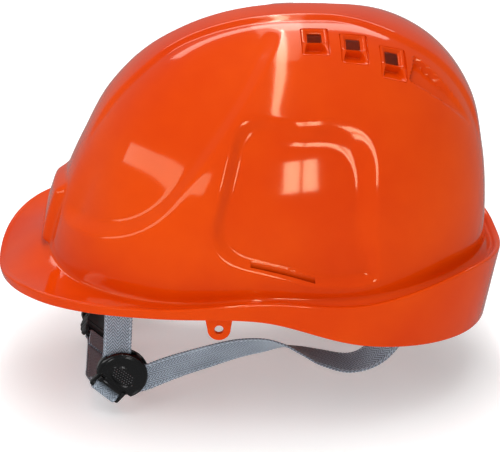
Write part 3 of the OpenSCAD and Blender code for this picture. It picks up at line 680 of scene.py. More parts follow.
def vent_tray(name, matrix):
    """The sunk tray of one vent: a lipped frame round the hole above a ramped scoop."""
    over = 0.6
    hu, hv = VENT_HALF_U + over, VENT_HALF_V + over
    u, v = np.meshgrid(np.linspace(-hu, hu, 45), np.linspace(-hv, hv, 63), indexing="ij")
    hole = np.maximum(np.abs(u) - HOLE_HALF_U, np.abs(v - HOLE_V) - HOLE_HALF_V)
    frame_w = -FRAME_SINK - 1.3 * sstep((1.7 - hole) / 1.7)
    lip = 0.9 * hump(v, -1.6, 0.9) * sstep((7.4 - np.abs(u)) / 1.2)
    upper = frame_w + lip - 0.9 * sstep((np.abs(u) - 6.9) / 0.8)
    ramp = np.clip((v + VENT_HALF_V) / 9.0, 0, 1)
    taper = sstep((7.6 - np.abs(u) - 2.6 * ramp) / 1.6)
    lower = -1.1 - 5.2 * ramp * taper - 0.8 * sstep((np.abs(u) - 7.0) / 0.8)
    mixed = sstep((v + 2.9) / 0.9)
    w = lower * (1 - mixed) + upper * mixed
    nu, nv = u.shape
    top = np.stack([u, v, w], axis=-1).reshape(-1, 3)
    bottom = np.stack([u, v, w - TRAY_T - 0.9 * sstep((-2 - v) / 2)], axis=-1).reshape(-1, 3)
    points = np.concatenate([top, bottom])
    faces = []
    half = nu * nv
    for i in range(nu - 1):
        for j in range(nv - 1):
            a = i * nv + j
            faces.append([a, a + nv, a + nv + 1, a + 1])
            faces.append([half + a, half + a + 1, half + a + nv + 1, half + a + nv])
    ring = ([(i, 0) for i in range(nu)] + [(nu - 1, j) for j in range(1, nv)]
            + [(i, nv - 1) for i in range(nu - 2, -1, -1)] + [(0, j) for j in range(nv - 2, 0, -1)])
    ids = [i * nv + j for i, j in ring]
    for k, a in enumerate(ids):
        b = ids[(k + 1) % len(ids)]
        faces.append([a, half + a, half + b, b])
    tray = make_object(name, points, faces, ORANGE, 38)
    hole_line = box_outline(-HOLE_HALF_U, HOLE_HALF_U, HOLE_V - HOLE_HALF_V, HOLE_V + HOLE_HALF_V, 0.9)
    carve(tray, cutter(name + "_hole", hole_line, -12, 4, Matrix.Identity(4)))
    return place(tray, matrix)


def carve(obj, tool):
    """Cuts tool out of obj."""
    change = obj.modifiers.new("cut", "BOOLEAN")
    change.operation = "DIFFERENCE"
    change.solver = "EXACT"
    change.object = tool
    apply_modifiers(obj)
    tool_mesh = tool.data
    bpy.data.objects.remove(tool)
    bpy.data.meshes.remove(tool_mesh)


shell = build_shell()
cuts, trays = [], []
vent_outline = box_outline(-VENT_HALF_U, VENT_HALF_U, -VENT_HALF_V, VENT_HALF_V, 1.6)
for vent_x, vent_y in VENTS:
    spot = surface_frame(vent_x, vent_y, 0.2)
    tool = cutter("vent_cut", vent_outline, -12, 12, spot)
    cuts += [tool, mirrored(tool, "vent_cut_right")]
    tray = vent_tray("vent_tray", spot)
    trays += [tray, mirrored(tray, "vent_tray_right")]
SLOT_X, SLOT_W, SLOT_MID_Y, SLOT_L = 92.7, 2.6, 11.0, 36.0
slot_outline = box_outline(-SLOT_L / 2, SLOT_L / 2, -20, 25, 0.6)
slot_tool = cutter("slot_cut", slot_outline, 0, SLOT_W, axes((SLOT_X, SLOT_MID_Y, 0), Y, Z, X))
cuts += [slot_tool, mirrored(slot_tool, "slot_cut_right")]
carve(shell, joined(cuts, "shell_cuts"))
finish_shading(shell.data, 38)


def keep(obj, body, slot, *nodes):
    """Sets the piece's body and hides the CAD nodes it stands for. Its slot argument is not used."""
    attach(obj, body)
    if nodes:
        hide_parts(*nodes)
    return obj


# ---------------- shell hardware
FRONT_ANCHOR = Vector((66, -81, -8))
REAR_ANCHOR = Vector((69, 85, -12))
WEB_W, WEB_T, BAR_R = 16.0, 1.2, 1.6
FRONT_HANGER, REAR_HANGER = 27.0, 153.0
FRONT_GAP, REAR_GAP = 11.0, 7.5
SOCKET_W, SOCKET_LOW, SOCKET_HIGH = 24.0, 4.0, 20.0
HANGER_BAR_X, HANGER_BAR_Z = -5.5, -1.0


def wall_x(y):
    """How far out the shell's inner face stands at its base."""
    b = (FRONT if y < 0 else REAR) - WALL
    return (HALF_W - WALL) * (1 - (abs(y) / b) ** SQUARE) ** (1 / SQUARE)


def hanger_r(angle):
    """How far out the middle of a hanger stands."""
    return float(outline_r(angle, WALL)) - (FRONT_GAP if angle < 90 else REAR_GAP)


def heading(angle):
    """The direction at an angle from the front, and the one square to it."""
    a = math.radians(angle)
    return Vector((math.sin(a), -math.cos(a), 0)), Vector((math.cos(a), math.sin(a), 0))


def side_lug():
    outline = arc(6.5, 180, 360, 22) + [(8.6, 12), (-8.6, 12)]
    return plate("lug", [outline, circle(2.5)[::-1]], 3.4, ORANGE, axes((102.7, -25, -19.5), Y, Z, X), 0.6)


def strap_anchor(at):
    """A bar for a strap between two ribs that reach the shell's wall."""
    rib_t, rib_y = 2.4, WEB_W / 2 + 0.4
    half = Y * (rib_y + rib_t)
    pieces = [rod("bar", at - half, at + half, BAR_R, ORANGE)]
    for y in (at.y - rib_y - rib_t / 2, at.y + rib_y + rib_t / 2):
        reach = wall_x(y) + 1.6 - at.x
        outline = rounded([(-2.6, -3.4), (reach, -3.4), (reach, 6.4), (0.5, 6.4), (-2.6, 2.5)], 1.4)
        pieces.append(plate("rib", [outline], rib_t, ORANGE, axes((at.x, y, at.z), X, Z, -Y), 0.35))
    return pieces


def hanger_socket(angle):
    """The pocket for a hanger's tongue, in two steps that follow the leaning wall."""
    pieces = []
    inner_x, slot_half, slot_reach = -3.4, 1.6, 10.3
    out, side = heading(angle)
    for t, low, high in ((8, SOCKET_LOW, 12.4), (12, 12.0, SOCKET_HIGH)):
        line = []
        for step in np.linspace(angle - 7.5, angle + 7.5, 21):
            q = Vector(dome_point(np.array([step]), t, 1.0)[0])
            u, v = q.dot(out) - hanger_r(angle), q.dot(side)
            if abs(v) <= SOCKET_W / 2:
                line.append((u, v))
        line.sort(key=lambda c: c[1])
        line = [(line[0][0], -SOCKET_W / 2), *line, (line[-1][0], SOCKET_W / 2)]
        outline = [(inner_x, SOCKET_W / 2), (inner_x, -SOCKET_W / 2), *line]
        hole = [(-slot_half, slot_reach), (slot_half, slot_reach),
                (slot_half, -slot_reach), (-slot_half, -slot_reach)]
        frame_at = axes(out * hanger_r(angle) + Z * ((low + high) / 2), out, side, Z)
        pieces.append(plate("socket", [outline, hole], high - low, ORANGE, frame_at, 0.3))
    return pieces


def pocket_slab(low_x, high_x, rise):
    """The wall behind a side slot."""
    half = SLOT_L / 2 + 2
    outline = rounded([(-half, -9), (half, -9), (half, 0.5 + rise), (-half, 11 + rise)], 1.2)
    frame_at = axes(((low_x + high_x) / 2, SLOT_MID_Y, 0), Y, Z, X)
    return plate("pocket", [outline], high_x - low_x, ORANGE, frame_at, 0.3)


hardware = [side_lug(), pocket_slab(88.6, SLOT_X - 0.4, 4.7)]
hardware += strap_anchor(FRONT_ANCHOR) + strap_anchor(REAR_ANCHOR)
hardware += hanger_socket(FRONT_HANGER) + hanger_socket(REAR_HANGER)
hardware += [mirrored(h, h.name + "_right") for h in list(hardware)]
shell = joined([shell, *trays, *hardware], "helmet_shell")
keep(shell, "helmet", "shell_plastic", "shell")


# ---------------- webbing
def resampled(stops, step):
    """Smooth centres and width directions through given stops, about one step apart, in millimetres."""
    stations = [np.array([*centre, *unit(np.array(width))]) for centre, width in stops]
    last = len(stops) - 1
    line = []
    for i in range(last):
        a, b, c, d = (stations[k] for k in (max(0, i - 1), i, i + 1, min(last, i + 2)))
        count = max(1, int(round(np.linalg.norm((c - b)[:3]) / step)))
        line += [through(a, b, c, d, k / count) for k in range(count)]
    line = np.array([*line, stations[-1]])
    return line[:, :3], line[:, 3:]


def strap(name, stops, material, step=0.6, waviness=0.0):
    """A woven strap along the stops, with slightly toothed edges and cloth coordinates."""
    centres, widths = resampled(stops, step)
    tangents = unit(np.gradient(centres, axis=0))
    widths = unit(widths - (widths * tangents).sum(1, keepdims=True) * tangents)
    normals = np.cross(tangents, widths)
    along = np.concatenate([[0], np.cumsum(np.linalg.norm(np.diff(centres, axis=0), axis=1))])
    u = np.linspace(-1, 1, 19)
    profile = 0.5 * WEB_T * (0.62 + 0.38 * np.clip((1 - np.abs(u)) / 0.12, 0, 1) ** 0.5)
    profile *= 1 + 0.14 * hump(np.abs(u), 0.9, 0.05)
    across = np.concatenate([u, u[::-1]])
    height = np.concatenate([profile, -profile[::-1]])
    ring = len(across)
    tooth = 0.16 * np.sin(2 * math.pi * along / 1.9)
    ripple = waviness * np.sin(2 * math.pi * along / 37.0 + 0.6)
    points, cloth = [], []
    for k in range(len(centres)):
        reach = across * (WEB_W / 2) + np.sign(across) * (np.abs(across) > 0.97) * tooth[k]
        lift = height + ripple[k] * (across ** 2 - 0.4)
        points.append(centres[k] + reach[:, None] * widths[k] + lift[:, None] * normals[k])
        cloth.append(np.stack([across * (WEB_W / 2) * MM, np.full(ring, along[k] * MM)], axis=-1))
    points, cloth = np.concatenate(points), np.concatenate(cloth)
    last = (len(centres) - 1) * ring
    faces = bands(len(centres), ring) + [list(range(ring)), list(range(last, last + ring))[::-1]]
    obj = make_object(name, points, faces, material, 50)
    layer = obj.data.uv_layers.new(name="cloth")
    ids = np.zeros(len(obj.data.loops), int)
    obj.data.loops.foreach_get("vertex_index", ids)
    layer.data.foreach_set("uv", cloth[ids].astype(np.float32).ravel())
    return obj


def bar_stops(at, r, start, end, across, u, v, steps=7):
    """Stops round a bar, from one angle to another in the plane of u and v."""
    return [(at + u * x + v * y, across) for x, y in arc(r, start, end, steps)]


LOOP_R = BAR_R + 0.35 + WEB_T / 2
front_stops = [
    (FRONT_ANCHOR + Vector((0.9, 0, -19)), Y), (FRONT_ANCHOR + Vector((-0.2, 0, -11)), Y),
    (FRONT_ANCHOR + Vector((-2.0, 0, -4.5)), Y), *bar_stops(FRONT_ANCHOR, LOOP_R, 190, -5, Y, X, Z),
    ((69.4, -81, -20), Y), ((71.4, -81.8, -34), (0, 1, 0.05)), ((73.2, -82.6, -46), (0, 1, 0.07)),
    ((73.7, -83, -50), (0, 1, 0.07)), ((73.7, -83.5, -57), (0, 1, 0.07))]
rear_stops = [
    ((75.0, -73, -65), (0, -0.1, 1)), ((75, -66, -63), (0, -0.1, 1)), ((72.5, -56, -60.5), (0.05, -0.1, 1)),
    ((70, -44, -57.5), (0.15, -0.15, 1)), ((69, -28, -53), (0.25, -0.1, 0.95)),
    ((69, -12, -49), (0.4, -0.1, 0.9)), ((69.5, 2, -47), (0.6, 0, 0.8)),
    ((70, 13, -47.5), (0.85, 0, 0.5)), ((70.6, 24, -51), (1, 0, 0.15)),
    ((71, 35, -55), (1, 0, -0.15)), ((72, 52, -58.5), (0.95, 0, -0.3)), ((73, 66, -52), (0.8, 0.48, -0.36)),
    ((72.8, 77, -38), (0.5, 0.7, -0.45)), ((71.8, 83, -26), (0.15, 0.95, -0.2)),
    *bar_stops(REAR_ANCHOR, LOOP_R, -10, 185, Y, X, Z),
    (REAR_ANCHOR + Vector((-1.6, 0, -5)), Y), (REAR_ANCHOR + Vector((0.6, -0.6, -12)), (0.1, 0.97, -0.1))]
front_strap = strap("front_strap_left_web", front_stops, CHIN)
rear_strap = strap("rear_strap_left_web", rear_stops, CHIN, waviness=0.25)
keep(front_strap, "helmet", "chin_webbing", "front_strap_left")
keep(rear_strap, "helmet", "chin_webbing", "rear_strap_left")
keep(mirrored(front_strap, "front_strap_right_web"), "helmet", "chin_webbing", "front_strap_right")
keep(mirrored(rear_strap, "rear_strap_right_web"), "helmet", "chin_webbing", "rear_strap_right")

# ---------------- chin strap
DIVIDER_AT = Vector((75, -80, -61))
TURN = math.radians(-42)
CHIN_Y = Vector((0, math.cos(TURN), math.sin(TURN)))
CHIN_Z = Vector((0, -math.sin(TURN), math.cos(TURN)))
CHIN_ORIGIN = Vector((0, DIVIDER_AT.y, DIVIDER_AT.z))
CHIN_FRAME = axes(CHIN_ORIGIN, X, CHIN_Y, CHIN_Z)
FLAT, CHIN_BAR_X, CHIN_BAR_Z = -24.0, 72.5, -15.6
BUCKLE_X, BUCKLE_W, BUCKLE_H = -14.0, 24.0, 7.2
PLUG_BAR_X, SOCKET_LEN = BUCKLE_X + 10, 23.0
SOCKET_BAR_X = BUCKLE_X - SOCKET_LEN - 5


def chin_stops(far_x, side):
    """The chin webbing from the divider's bar to a buckle bar at far_x, on the side given by its sign."""
    u = X * side

    def stop(x, z):
        return (CHIN_ORIGIN + u * x + CHIN_Z * z, CHIN_Y)

    top = bar_stops(stop(CHIN_BAR_X, CHIN_BAR_Z)[0], LOOP_R, 110, -90, CHIN_Y, u, CHIN_Z)
    end = bar_stops(stop(far_x, FLAT)[0], LOOP_R, -90, -280, CHIN_Y, u, CHIN_Z)
    free = [(68, -18.6), (60, FLAT + 3), (50, FLAT), *((x, FLAT) for x in np.linspace(40, far_x + 14, 4)),
            (far_x + 6, FLAT - 0.6)]
    return [stop(60, FLAT + 4.6), stop(66.5, -17.5), *top, *(stop(x, z) for x, z in free), *end,
            stop(far_x + 7, FLAT + 1.6), stop(far_x + 16, FLAT + 1.5)]


chin_left = strap("chin_web_left_web", chin_stops(PLUG_BAR_X, 1), CHIN)
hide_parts("chin_web_left")
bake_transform(chin_left)
chin_right = strap("chin_web_right_web", chin_stops(-SOCKET_BAR_X, -1), CHIN)
keep(chin_right, "helmet", "chin_webbing", "chin_web_right")


# ---------------- strap dividers
DIVIDER_R = 15.0
DISC_FRAME = axes(DIVIDER_AT, CHIN_Y, CHIN_Z, X)
HINGE_Z, HINGE_X = -9.4, 1.7
GRIP_Z = 0.6


def disc_level(height):
    """The divider's frame, moved outwards by a height."""
    return DISC_FRAME @ Matrix.Translation((0, 0, height))


def disc_face(name, radius, low, height_of, back, material, rings=52, spokes=200):
    """A disc cut straight across at low, with a modelled front. height_of gives the front's height."""
    angles = np.linspace(0, 2 * math.pi, spokes, endpoint=False)
    limit = np.full(spokes, radius)
    down = np.sin(angles) < -1e-6
    limit[down] = np.minimum(radius, low / np.minimum(np.sin(angles[down]), -1e-6))
    limit = np.minimum(limit, smin(limit, np.full(spokes, radius), 0.6))
    radii = np.linspace(0, 1, rings + 1)[1:] ** 0.9
    y = radii[:, None] * limit * np.cos(angles)
    z = radii[:, None] * limit * np.sin(angles)
    edge = (1 - radii[:, None]) * limit
    h = height_of(y, z, edge)
    points = [(0, 0, height_of(0.0, 0.0, radius)), *zip(y.ravel(), z.ravel(), h.ravel())]
    faces = [[0, 1 + i, 1 + (i + 1) % spokes] for i in range(spokes)] + bands(rings + 1, spokes, 1)
    first = len(points)
    points += [(a, b, back) for a, b in zip(y[-1], z[-1])]
    faces.append(list(range(first, first + spokes))[::-1])
    return make_object(name, points, faces, material, 42)


def lid_height(y, z, edge):
    """The lid's crowned front, its rim ring and its oval thumb grip."""
    r = np.hypot(y, z)
    h = 3.7 - 1.0 * (r / 14.8) ** 2 - 1.1 * np.clip(1 - edge / 1.3, 0, 1) ** 2
    h = h - 0.38 * hump(edge, 1.9, 0.3)
    e = np.hypot(y / 7.4, (z - GRIP_Z) / 5.0)
    moat = 0.55 * hump(e, 1.06, 0.07) * (0.55 + 0.45 * sstep((1.5 - z) / 4))
    return h + 0.12 * sstep((1.0 - e) / 0.12) - moat


def divider_lid():
    """The lid with its dotted grip and the hinge barrel at its foot."""
    lid = disc_face("lid_face", DIVIDER_R - 0.25, -7.5, lid_height, 1.2, DIVIDER)
    spots = []
    for row in range(-3, 4):
        for column in range(-4, 5):
            y, z = column * 1.55 + 0.78 * (row % 2), GRIP_Z + row * 1.45
            if np.hypot(y / 6.5, (z - GRIP_Z) / 4.3) < 1:
                spot = Vector((y, z, lid_height(y, z, 9.0)))
                spots.append(Matrix.Translation(spot * MM) @ Matrix.Diagonal((1, 1, 0.7, 1)))
    dots = beads("lid_dots", spots, 0.45 * MM, DOTS_PAINTED_HIGHLIGHT)
    barrel = rod("lid_barrel", (-6.7, HINGE_Z, HINGE_X), (6.7, HINGE_Z, HINGE_X), 1.45, DIVIDER)
    web = plate("lid_web", [box_outline(-6.7, 6.7, -9.2, -6.4, 0.4)], 1.3, DIVIDER, disc_level(1.9), 0.2)
    on_disc = [place(piece, DISC_FRAME) for piece in (lid, dots, barrel)]
    return joined([*on_disc, web], "divider_lid_left_cover")


def divider_base():
    """The base dish with its strap mouths, hinge ears and chin bar."""
    pieces = [plate("base_floor", [circle(DIVIDER_R, 96)], 1.7, DIVIDER, disc_level(-3.15), 0.4)]
    turn = math.degrees(-TURN)
    front_mouth, rear_mouth = (55 + turn, 127 + turn), (-48 + turn, 42 + turn)
    spans = [(rear_mouth[1], front_mouth[0]), (front_mouth[1], 207), (-27, rear_mouth[0])]
    for low, high in spans:
        if high - low > 4:
            outline = arc(DIVIDER_R, low, high, 20) + arc(DIVIDER_R - 1.5, high, low, 20)
            pieces.append(plate("base_wall", [outline], 3.6, DIVIDER, disc_level(-0.9), 0.25))
    foot_outline = rounded([(-10.5, -8), (-10.5, -17.4), (10.5, -17.4), (10.5, -8)], 1.6)
    window = [(-8.5, -11.9), (8.5, -11.9), (8.5, -16.0), (-8.5, -16.0)]
    pieces.append(plate("base_foot", [foot_outline, window], 3.0, DIVIDER, disc_level(-2.5), 0.4))
    bar = rod("base_bar", (-10, CHIN_BAR_Z, -2.5), (10, CHIN_BAR_Z, -2.5), BAR_R, DIVIDER)
    pin = rod("base_pin", (-9, HINGE_Z, HINGE_X), (9, HINGE_Z, HINGE_X), 0.8, DIVIDER, 16, 0.15)
    pieces += [place(bar, DISC_FRAME), place(pin, DISC_FRAME)]
    ear_outline = rounded([(-1.2, -11.2), (3.1, -11.2), (3.1, -7.6), (-1.2, -7.6)], 1.0)
    for y in (-8.1, 8.1):
        ear_frame = axes(DIVIDER_AT + CHIN_Y * y, X, CHIN_Z, -CHIN_Y)
        pieces.append(plate("base_ear", [ear_outline], 2.0, DIVIDER, ear_frame, 0.3))
    return joined(pieces, "divider_body_left_base")


lid_left = divider_lid()
base_left = divider_base()
keep(lid_left, "lid_left", "divider_plastic", "divider_lid_left")
keep(base_left, "helmet", "divider_plastic", "divider_body_left")
keep(mirrored(lid_left, "divider_lid_right_cover"), "lid_right", "divider_plastic", "divider_lid_right")
keep(mirrored(base_left, "divider_body_right_base"), "helmet", "divider_plastic", "divider_body_right")


# ---------------- side-release buckle
def chin_plate(name, outlines, thickness, z, bevel=0.4):
    """A flat part of the buckle, in the chin webbing's frame."""
    return plate(name, outlines, thickness, BUCKLE, CHIN_FRAME @ Matrix.Translation((0, 0, z)), bevel)


def bar_frame(low, high, bar_x):
    """Two cheeks and the webbing bar between them."""
    cheeks = [chin_plate("cheek", [box_outline(low, high, y, y + 2.6, 1.0)], 4.4, FLAT, 0.5)
              for y in (-BUCKLE_W / 2, BUCKLE_W / 2 - 2.6)]
    bar = rod("frame_bar", (bar_x, -BUCKLE_W / 2 + 1, FLAT), (bar_x, BUCKLE_W / 2 - 1, FLAT), BAR_R, BUCKLE)
    return [*cheeks, place(bar, CHIN_FRAME)]


def buckle_socket():
    """The socket half: two faces with a waist for the arms, thin sides, a raised rim and the bar."""
    low, high = BUCKLE_X - SOCKET_LEN, BUCKLE_X
    half, inner_h = BUCKLE_W / 2, 4.9
    waist = [(low, -half + 2), (low + 2.5, -half), (low + 7, -half), (low + 11, -half + 1.3),
             (low + 15.5, -half + 1.3), (high - 4, -half), (high, -half)]
    outline = rounded(waist + [(x, -y) for x, y in reversed(waist)], 1.2, 3)
    pieces = [chin_plate("face", [outline], 1.5, FLAT + side * 2.85, 0.5) for side in (-1, 1)]
    end_line = box_outline(low + 0.5, BUCKLE_X - 18, -half + 0.4, half - 0.4, 1.0)
    pieces.append(chin_plate("end", [end_line], inner_h, FLAT, 0.2))
    for y in (-half, half - 1.6):
        pieces.append(chin_plate("side", [box_outline(high - 6, high, y, y + 1.6, 0.3)], inner_h, FLAT, 0.2))
    rim_lines = [box_outline(low + 5, high - 3, -6.5, 6.5, 2.5),
                 box_outline(low + 5.8, high - 3.8, -5.7, 5.7, 2.0)[::-1]]
    pieces.append(chin_plate("rim", rim_lines, 0.7, FLAT - 3.65, 0.15))
    return joined([*pieces, *bar_frame(SOCKET_BAR_X - 2, low + 0.5, SOCKET_BAR_X)], "buckle_socket_body")


def buckle_plug():
    """The plug half: a block, its middle tongue and the bar."""
    base_x, half = BUCKLE_X + 0.3, BUCKLE_W / 2
    block = chin_plate("block", [box_outline(base_x, base_x + 5, -half, half, 1.2)], BUCKLE_H, FLAT, 0.9)
    tongue = chin_plate("tongue", [box_outline(BUCKLE_X - 10, base_x + 1, -3, 3, 1.2)], 2.4, FLAT, 0.4)
    return joined([block, tongue, *bar_frame(base_x + 4.5, PLUG_BAR_X + 2, PLUG_BAR_X)], "buckle_plug_body")


def buckle_prong(side, name):
    """One springing arm, with the button that the fingers press."""
    root, tip, y = BUCKLE_X + 3, BUCKLE_X - 16, 8.6
    line = [(root + 0.8, y - 1), (root + 0.8, y + 1), (tip + 6.4, y + 1), (tip + 5.9, 10.9),
            (tip + 3.0, 10.9), (tip + 0.4, y + 0.8), (tip, y - 1)]
    outline = [(x, side * v) for x, v in line]
    return chin_plate(name, [outline if side < 0 else outline[::-1]], 3.6, FLAT, 0.35)


keep(buckle_socket(), "helmet", "buckle_plastic", "buckle_socket")
keep(buckle_plug(), "plug", "buckle_plastic", "buckle_plug")
keep(buckle_prong(1, "buckle_prong_rear_arm"), "prong_rear", "buckle_plastic", "buckle_prong_rear")
keep(buckle_prong(-1, "buckle_prong_front_arm"), "prong_front", "buckle_plastic", "buckle_prong_front")


# ---------------- cradle
CRADLE_RISE, CROSS_GAP, CRADLE_N = 98.0, 0.5, 2.4


def cradle_stops(rise):
    """One cradle strap, sewn round the bars of a front and a rear hanger, in an upright plane."""
    out, side = heading(FRONT_HANGER)
    front, rear = hanger_r(FRONT_HANGER) + HANGER_BAR_X, hanger_r(REAR_HANGER) + HANGER_BAR_X
    mid, half = (front - rear) / 2, (front + rear) / 2

    def at(u, z):
        return (out * u + Z * z, side)

    def soft(v):
        return math.copysign(abs(v) ** (2 / CRADLE_N), v)

    def end(sign, bar_u):
        """From the sewn tail, down round the bar and up to where the strap runs free."""
        down = [(-0.75, 15.5), (-0.75, 9), (-1.7, 3.5)]
        loop = [polar(LOOP_R, t) for t in (180, 215, 250, 290, 325, 360)]
        line = down + [(x, HANGER_BAR_Z + z) for x, z in loop] + [(1.6, 3.5), (0.5, 9), (0.4, 15.5)]
        return [at(bar_u + sign * x, z) for x, z in line]

    turns = [polar(1, t) for t in np.arange(10.5, 170, 5.3)]
    over = [at(mid + half * soft(x), HANGER_BAR_Z + rise * soft(z)) for x, z in turns]
    return end(1, front) + over + end(-1, -rear)[::-1]


cradle_left = strap("cradle_strap_left_web", cradle_stops(CRADLE_RISE), CRADLE, step=0.8)
cradle_high = strap("cradle_high", cradle_stops(CRADLE_RISE + WEB_T + CROSS_GAP), CRADLE, step=0.8)
cradle_right = mirrored(cradle_high, "cradle_strap_right_web")
bpy.data.objects.remove(cradle_high)
keep(cradle_left, "helmet", "cradle_webbing", "cradle_strap_left")
keep(cradle_right, "helmet", "cradle_webbing", "cradle_strap_right")


def stitch_ring(radius, count, length, at_z):
    """Stitches as short raised threads round a circle."""
    shapes = []
    for k in range(count):
        turn = Matrix.Rotation(2 * math.pi * k / count, 4, "Z")
        spot = Matrix.Translation(Vector((radius, 0, at_z)) * MM)
        shapes.append(turn @ spot @ Matrix.Diagonal((0.3, length / 2, 0.28, 1)))
    return beads("stitches", shapes, MM, CRADLE)


PATCH_Y = 4
PATCH_Z = HANGER_BAR_Z + CRADLE_RISE + 1.5 * WEB_T + CROSS_GAP + 0.3
patch_at = Matrix.Translation((0, PATCH_Y, PATCH_Z + 0.7))
patch = plate("patch", [circle(17, 96), circle(3)[::-1]], 1.5, PAD, patch_at, 0.55)
threads = [stitch_ring(14.6, 34, 1.9, 1.45), stitch_ring(4.9, 14, 1.6, 1.45)]
for thread in threads:
    place(thread, Matrix.Translation((0, PATCH_Y, PATCH_Z)))
keep(joined([patch, *threads], "crown_patch_sewn"), "helmet", "cradle_webbing", "crown_patch")


# ---------------- pads
def move_points(mesh, places):
    """Gives a mesh's points new places, in metres."""
    for vertex, place_at in zip(mesh.vertices, places):
        vertex.co = place_at
    mesh.update()


def inflate(obj, pinned, pressure, limit):
    """Blows a closed pad up a little with a cloth simulation. No point moves further than the limit."""
    group = obj.vertex_groups.new(name="held")
    group.add([int(i) for i in pinned], 1.0, "REPLACE")
    start = np.array([v.co for v in obj.data.vertices])
    cloth = obj.modifiers.new("cloth", "CLOTH")
    settings = cloth.settings
    settings.quality = 6
    settings.mass = 0.15
    settings.tension_stiffness = settings.compression_stiffness = 12
    settings.bending_stiffness = 0.4
    settings.use_pressure = True
    settings.uniform_pressure_force = pressure
    settings.effector_weights.gravity = 0
    settings.vertex_group_mass = "held"
    scene = bpy.context.scene
    for step in range(1, 21):
        scene.frame_set(step)
    moved = np.array([v.co for v in result_mesh(obj).vertices])
    obj.modifiers.clear()
    scene.frame_set(1)
    shift = moved - start
    size = np.linalg.norm(shift, axis=1, keepdims=True)
    shift *= np.minimum(1, limit / np.maximum(size, 1e-9))
    obj.vertex_groups.clear()
    move_points(obj.data, start + shift)


def pad(name, centre_y, r_back, a0, a1, z0, z1, thick, channels, node):
    """A foam pad sewn round its edge and along channels, lying on a band's inner face."""
    step = 2.6
    mean_r, mid_z = r_back - thick / 2, (z0 + z1) / 2
    count_a = int(round(math.radians(a1 - a0) * mean_r / step))
    count_z = int(round((z1 - z0) / step))
    angles, heights = np.linspace(a0, a1, count_a + 1), np.linspace(z0, z1, count_z + 1)
    index, points, pinned = {}, [], []
    corner = 0.18
    for face in (0, 1):
        for i, a in enumerate(angles):
            for j, z in enumerate(heights):
                border = i in (0, count_a) or j in (0, count_z)
                if face and border:
                    index[face, i, j] = index[0, i, j]
                    continue
                u = 2 * i / count_a - 1
                end_in = max(0.0, (abs(u) - (1 - corner)) / corner)
                v_scale = 1 - 0.22 * end_in ** 2.2
                zz = mid_z + (z - mid_z) * v_scale
                edge = min(i, count_a - i, j, count_z - j) / 3
                puff = (1 - max(0.0, 1 - edge) ** 2) * thick * 0.55
                r = r_back - 0.25 if not face else r_back - 0.6 - puff
                if border:
                    r = r_back - 0.5
                index[face, i, j] = len(points)
                if not face or border:
                    pinned.append(len(points))
                x, y = polar(r, a)
                points.append((x, centre_y + y, zz))
    faces = []
    for i in range(count_a):
        for j in range(count_z):
            for face in (0, 1):
                corners = ((i, j), (i + 1, j), (i + 1, j + 1), (i, j + 1))
                ring = [index[face, p, q] for p, q in corners]
                faces.append(ring if face else ring[::-1])
    obj = make_object(name, points, faces, PAD, 80)
    inflate(obj, pinned, 4.0, 1.1 * MM)
    smooth = obj.modifiers.new("smooth", "SUBSURF")
    smooth.levels = smooth.render_levels = 2
    apply_modifiers(obj)
    co = np.array([vert.co for vert in obj.data.vertices]) / MM
    angle = np.degrees(np.arctan2(co[:, 1] - centre_y, co[:, 0])) % 360
    radius = np.hypot(co[:, 0], co[:, 1] - centre_y)
    front = sstep((r_back - 0.8 - radius) / 0.5)
    press = np.zeros(len(co))
    for channel in channels:
        gap = np.abs(angle - channel) * math.pi / 180 * mean_r
        press = np.maximum(press, hump(gap, 0, 1.1))
    top, bottom = z1 - 3.2, z0 + 3.2
    for line_z in (top, bottom):
        press = np.maximum(press, 0.8 * hump(co[:, 2], line_z, 0.9))
    deep = front * press * np.minimum(0.6 * (r_back - 0.9 - radius).clip(0), 1.0)
    new_r = radius + deep
    co[:, 0] *= new_r / radius
    co[:, 1] = centre_y + (co[:, 1] - centre_y) * new_r / radius
    move_points(obj.data, co * MM)
    finish_shading(obj.data, 80)
    keep(obj, "helmet", "pad_cloth", node)
    return obj


BAND_R, BAND_SIDE = 80.0, 18.0
pad("brow_sweatband_pad", -BAND_SIDE, BAND_R - 0.3, 205, 335, -10, 26, 2.6,
    [222, 244, 259, 281, 296, 318], "brow_sweatband")
pad("nape_pad_cushion", BAND_SIDE, 79.3, 66, 114, -36, -8, 2.5, [78, 90, 102], "nape_pad")

# ---------------- finishes of the CAD's own parts
finishes = {
    BLACK: ["hanger_front_left", "hanger_front_right", "hanger_rear_left", "hanger_rear_right", "headband"],
    RATCHET: ["rack_arm_left", "rack_arm_right", "ratchet_base", "ratchet_cover", "ratchet_pinion",
              "ratchet_click_spring", "ratchet_knob"],
    STEEL: ["knob_screw"]}
for finish, names in finishes.items():
    for name in names:
        for material_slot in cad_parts[name].material_slots:
            material_slot.material = finish

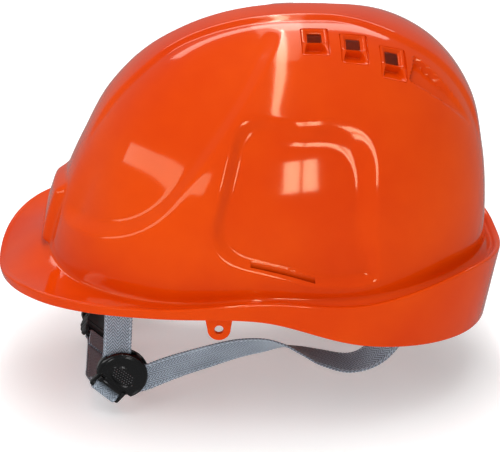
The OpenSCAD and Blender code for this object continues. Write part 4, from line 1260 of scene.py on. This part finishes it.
# ---------------- stage
bpy.context.scene.view_settings.view_transform = "Standard"
floor_z = cad_box[0][2] - 0.0005
bpy.ops.mesh.primitive_plane_add(size=60, location=(0, 0, floor_z))
floor = bpy.context.object
floor.name = "floor"
n = Nodes("floor_white")
tone = n.ramp(n.noise(3.0, 2.0, 0.5), [(0.3, (0.88, 0.88, 0.88)), (0.7, (0.91, 0.91, 0.91))])
floor_white = n.shade(Base_Color=tone, Roughness=0.85, Emission_Color=(1, 1, 1, 1), Emission_Strength=0.3)
floor.data.materials.append(floor_white)
floor.visible_glossy = False

world = bpy.data.worlds.new("studio")
bpy.context.scene.world = world
world.use_nodes = True
world_nodes, world_links = world.node_tree.nodes, world.node_tree.links
seen = world_nodes.new("ShaderNodeLightPath").outputs["Is Camera Ray"]
strength = world_nodes.new("ShaderNodeMapRange")
strength.inputs["To Min"].default_value = 0.30
strength.inputs["To Max"].default_value = 0.60
world_links.new(seen, strength.inputs["Value"])
world_links.new(strength.outputs[0], world_nodes["Background"].inputs[1])
world_nodes["Background"].inputs[0].default_value = (1.0, 1.0, 1.0, 1)


def softbox(name, place_at, aim, size, power, in_gloss=True):
    """A rectangular light, in metres and watts."""
    data = bpy.data.lights.new(name, "AREA")
    data.shape = "RECTANGLE"
    data.size, data.size_y = size
    data.energy = power
    light = linked(name, data)
    point_at(light, place_at, aim)
    light.visible_glossy = in_gloss


softbox("overhead", (0.35, -0.1, 1.55), (0, 0, 0.05), (1.2, 1.4), 9, False)
softbox("crown", (-0.75, 0.0, 1.45), (0, 0, 0.08), (0.3, 1.5), 3.2)
softbox("window_left", (1.6, 0.22, 0.42), (0, 0, 0.05), (0.12, 0.42), 2.0)
softbox("window_right", (1.57, 0.37, 0.42), (0, 0, 0.05), (0.12, 0.42), 2.0)
softbox("front", (0.85, -1.3, 0.55), (0, 0, 0.05), (2.0, 0.3), 7)
softbox("strip", (0.1, 0.0, 1.55), (0, 0, 0.05), (0.09, 3.2), 12.0)
softbox("back", (-1.15, -0.05, 1.15), (0, 0, 0.08), (1.7, 0.32), 6)
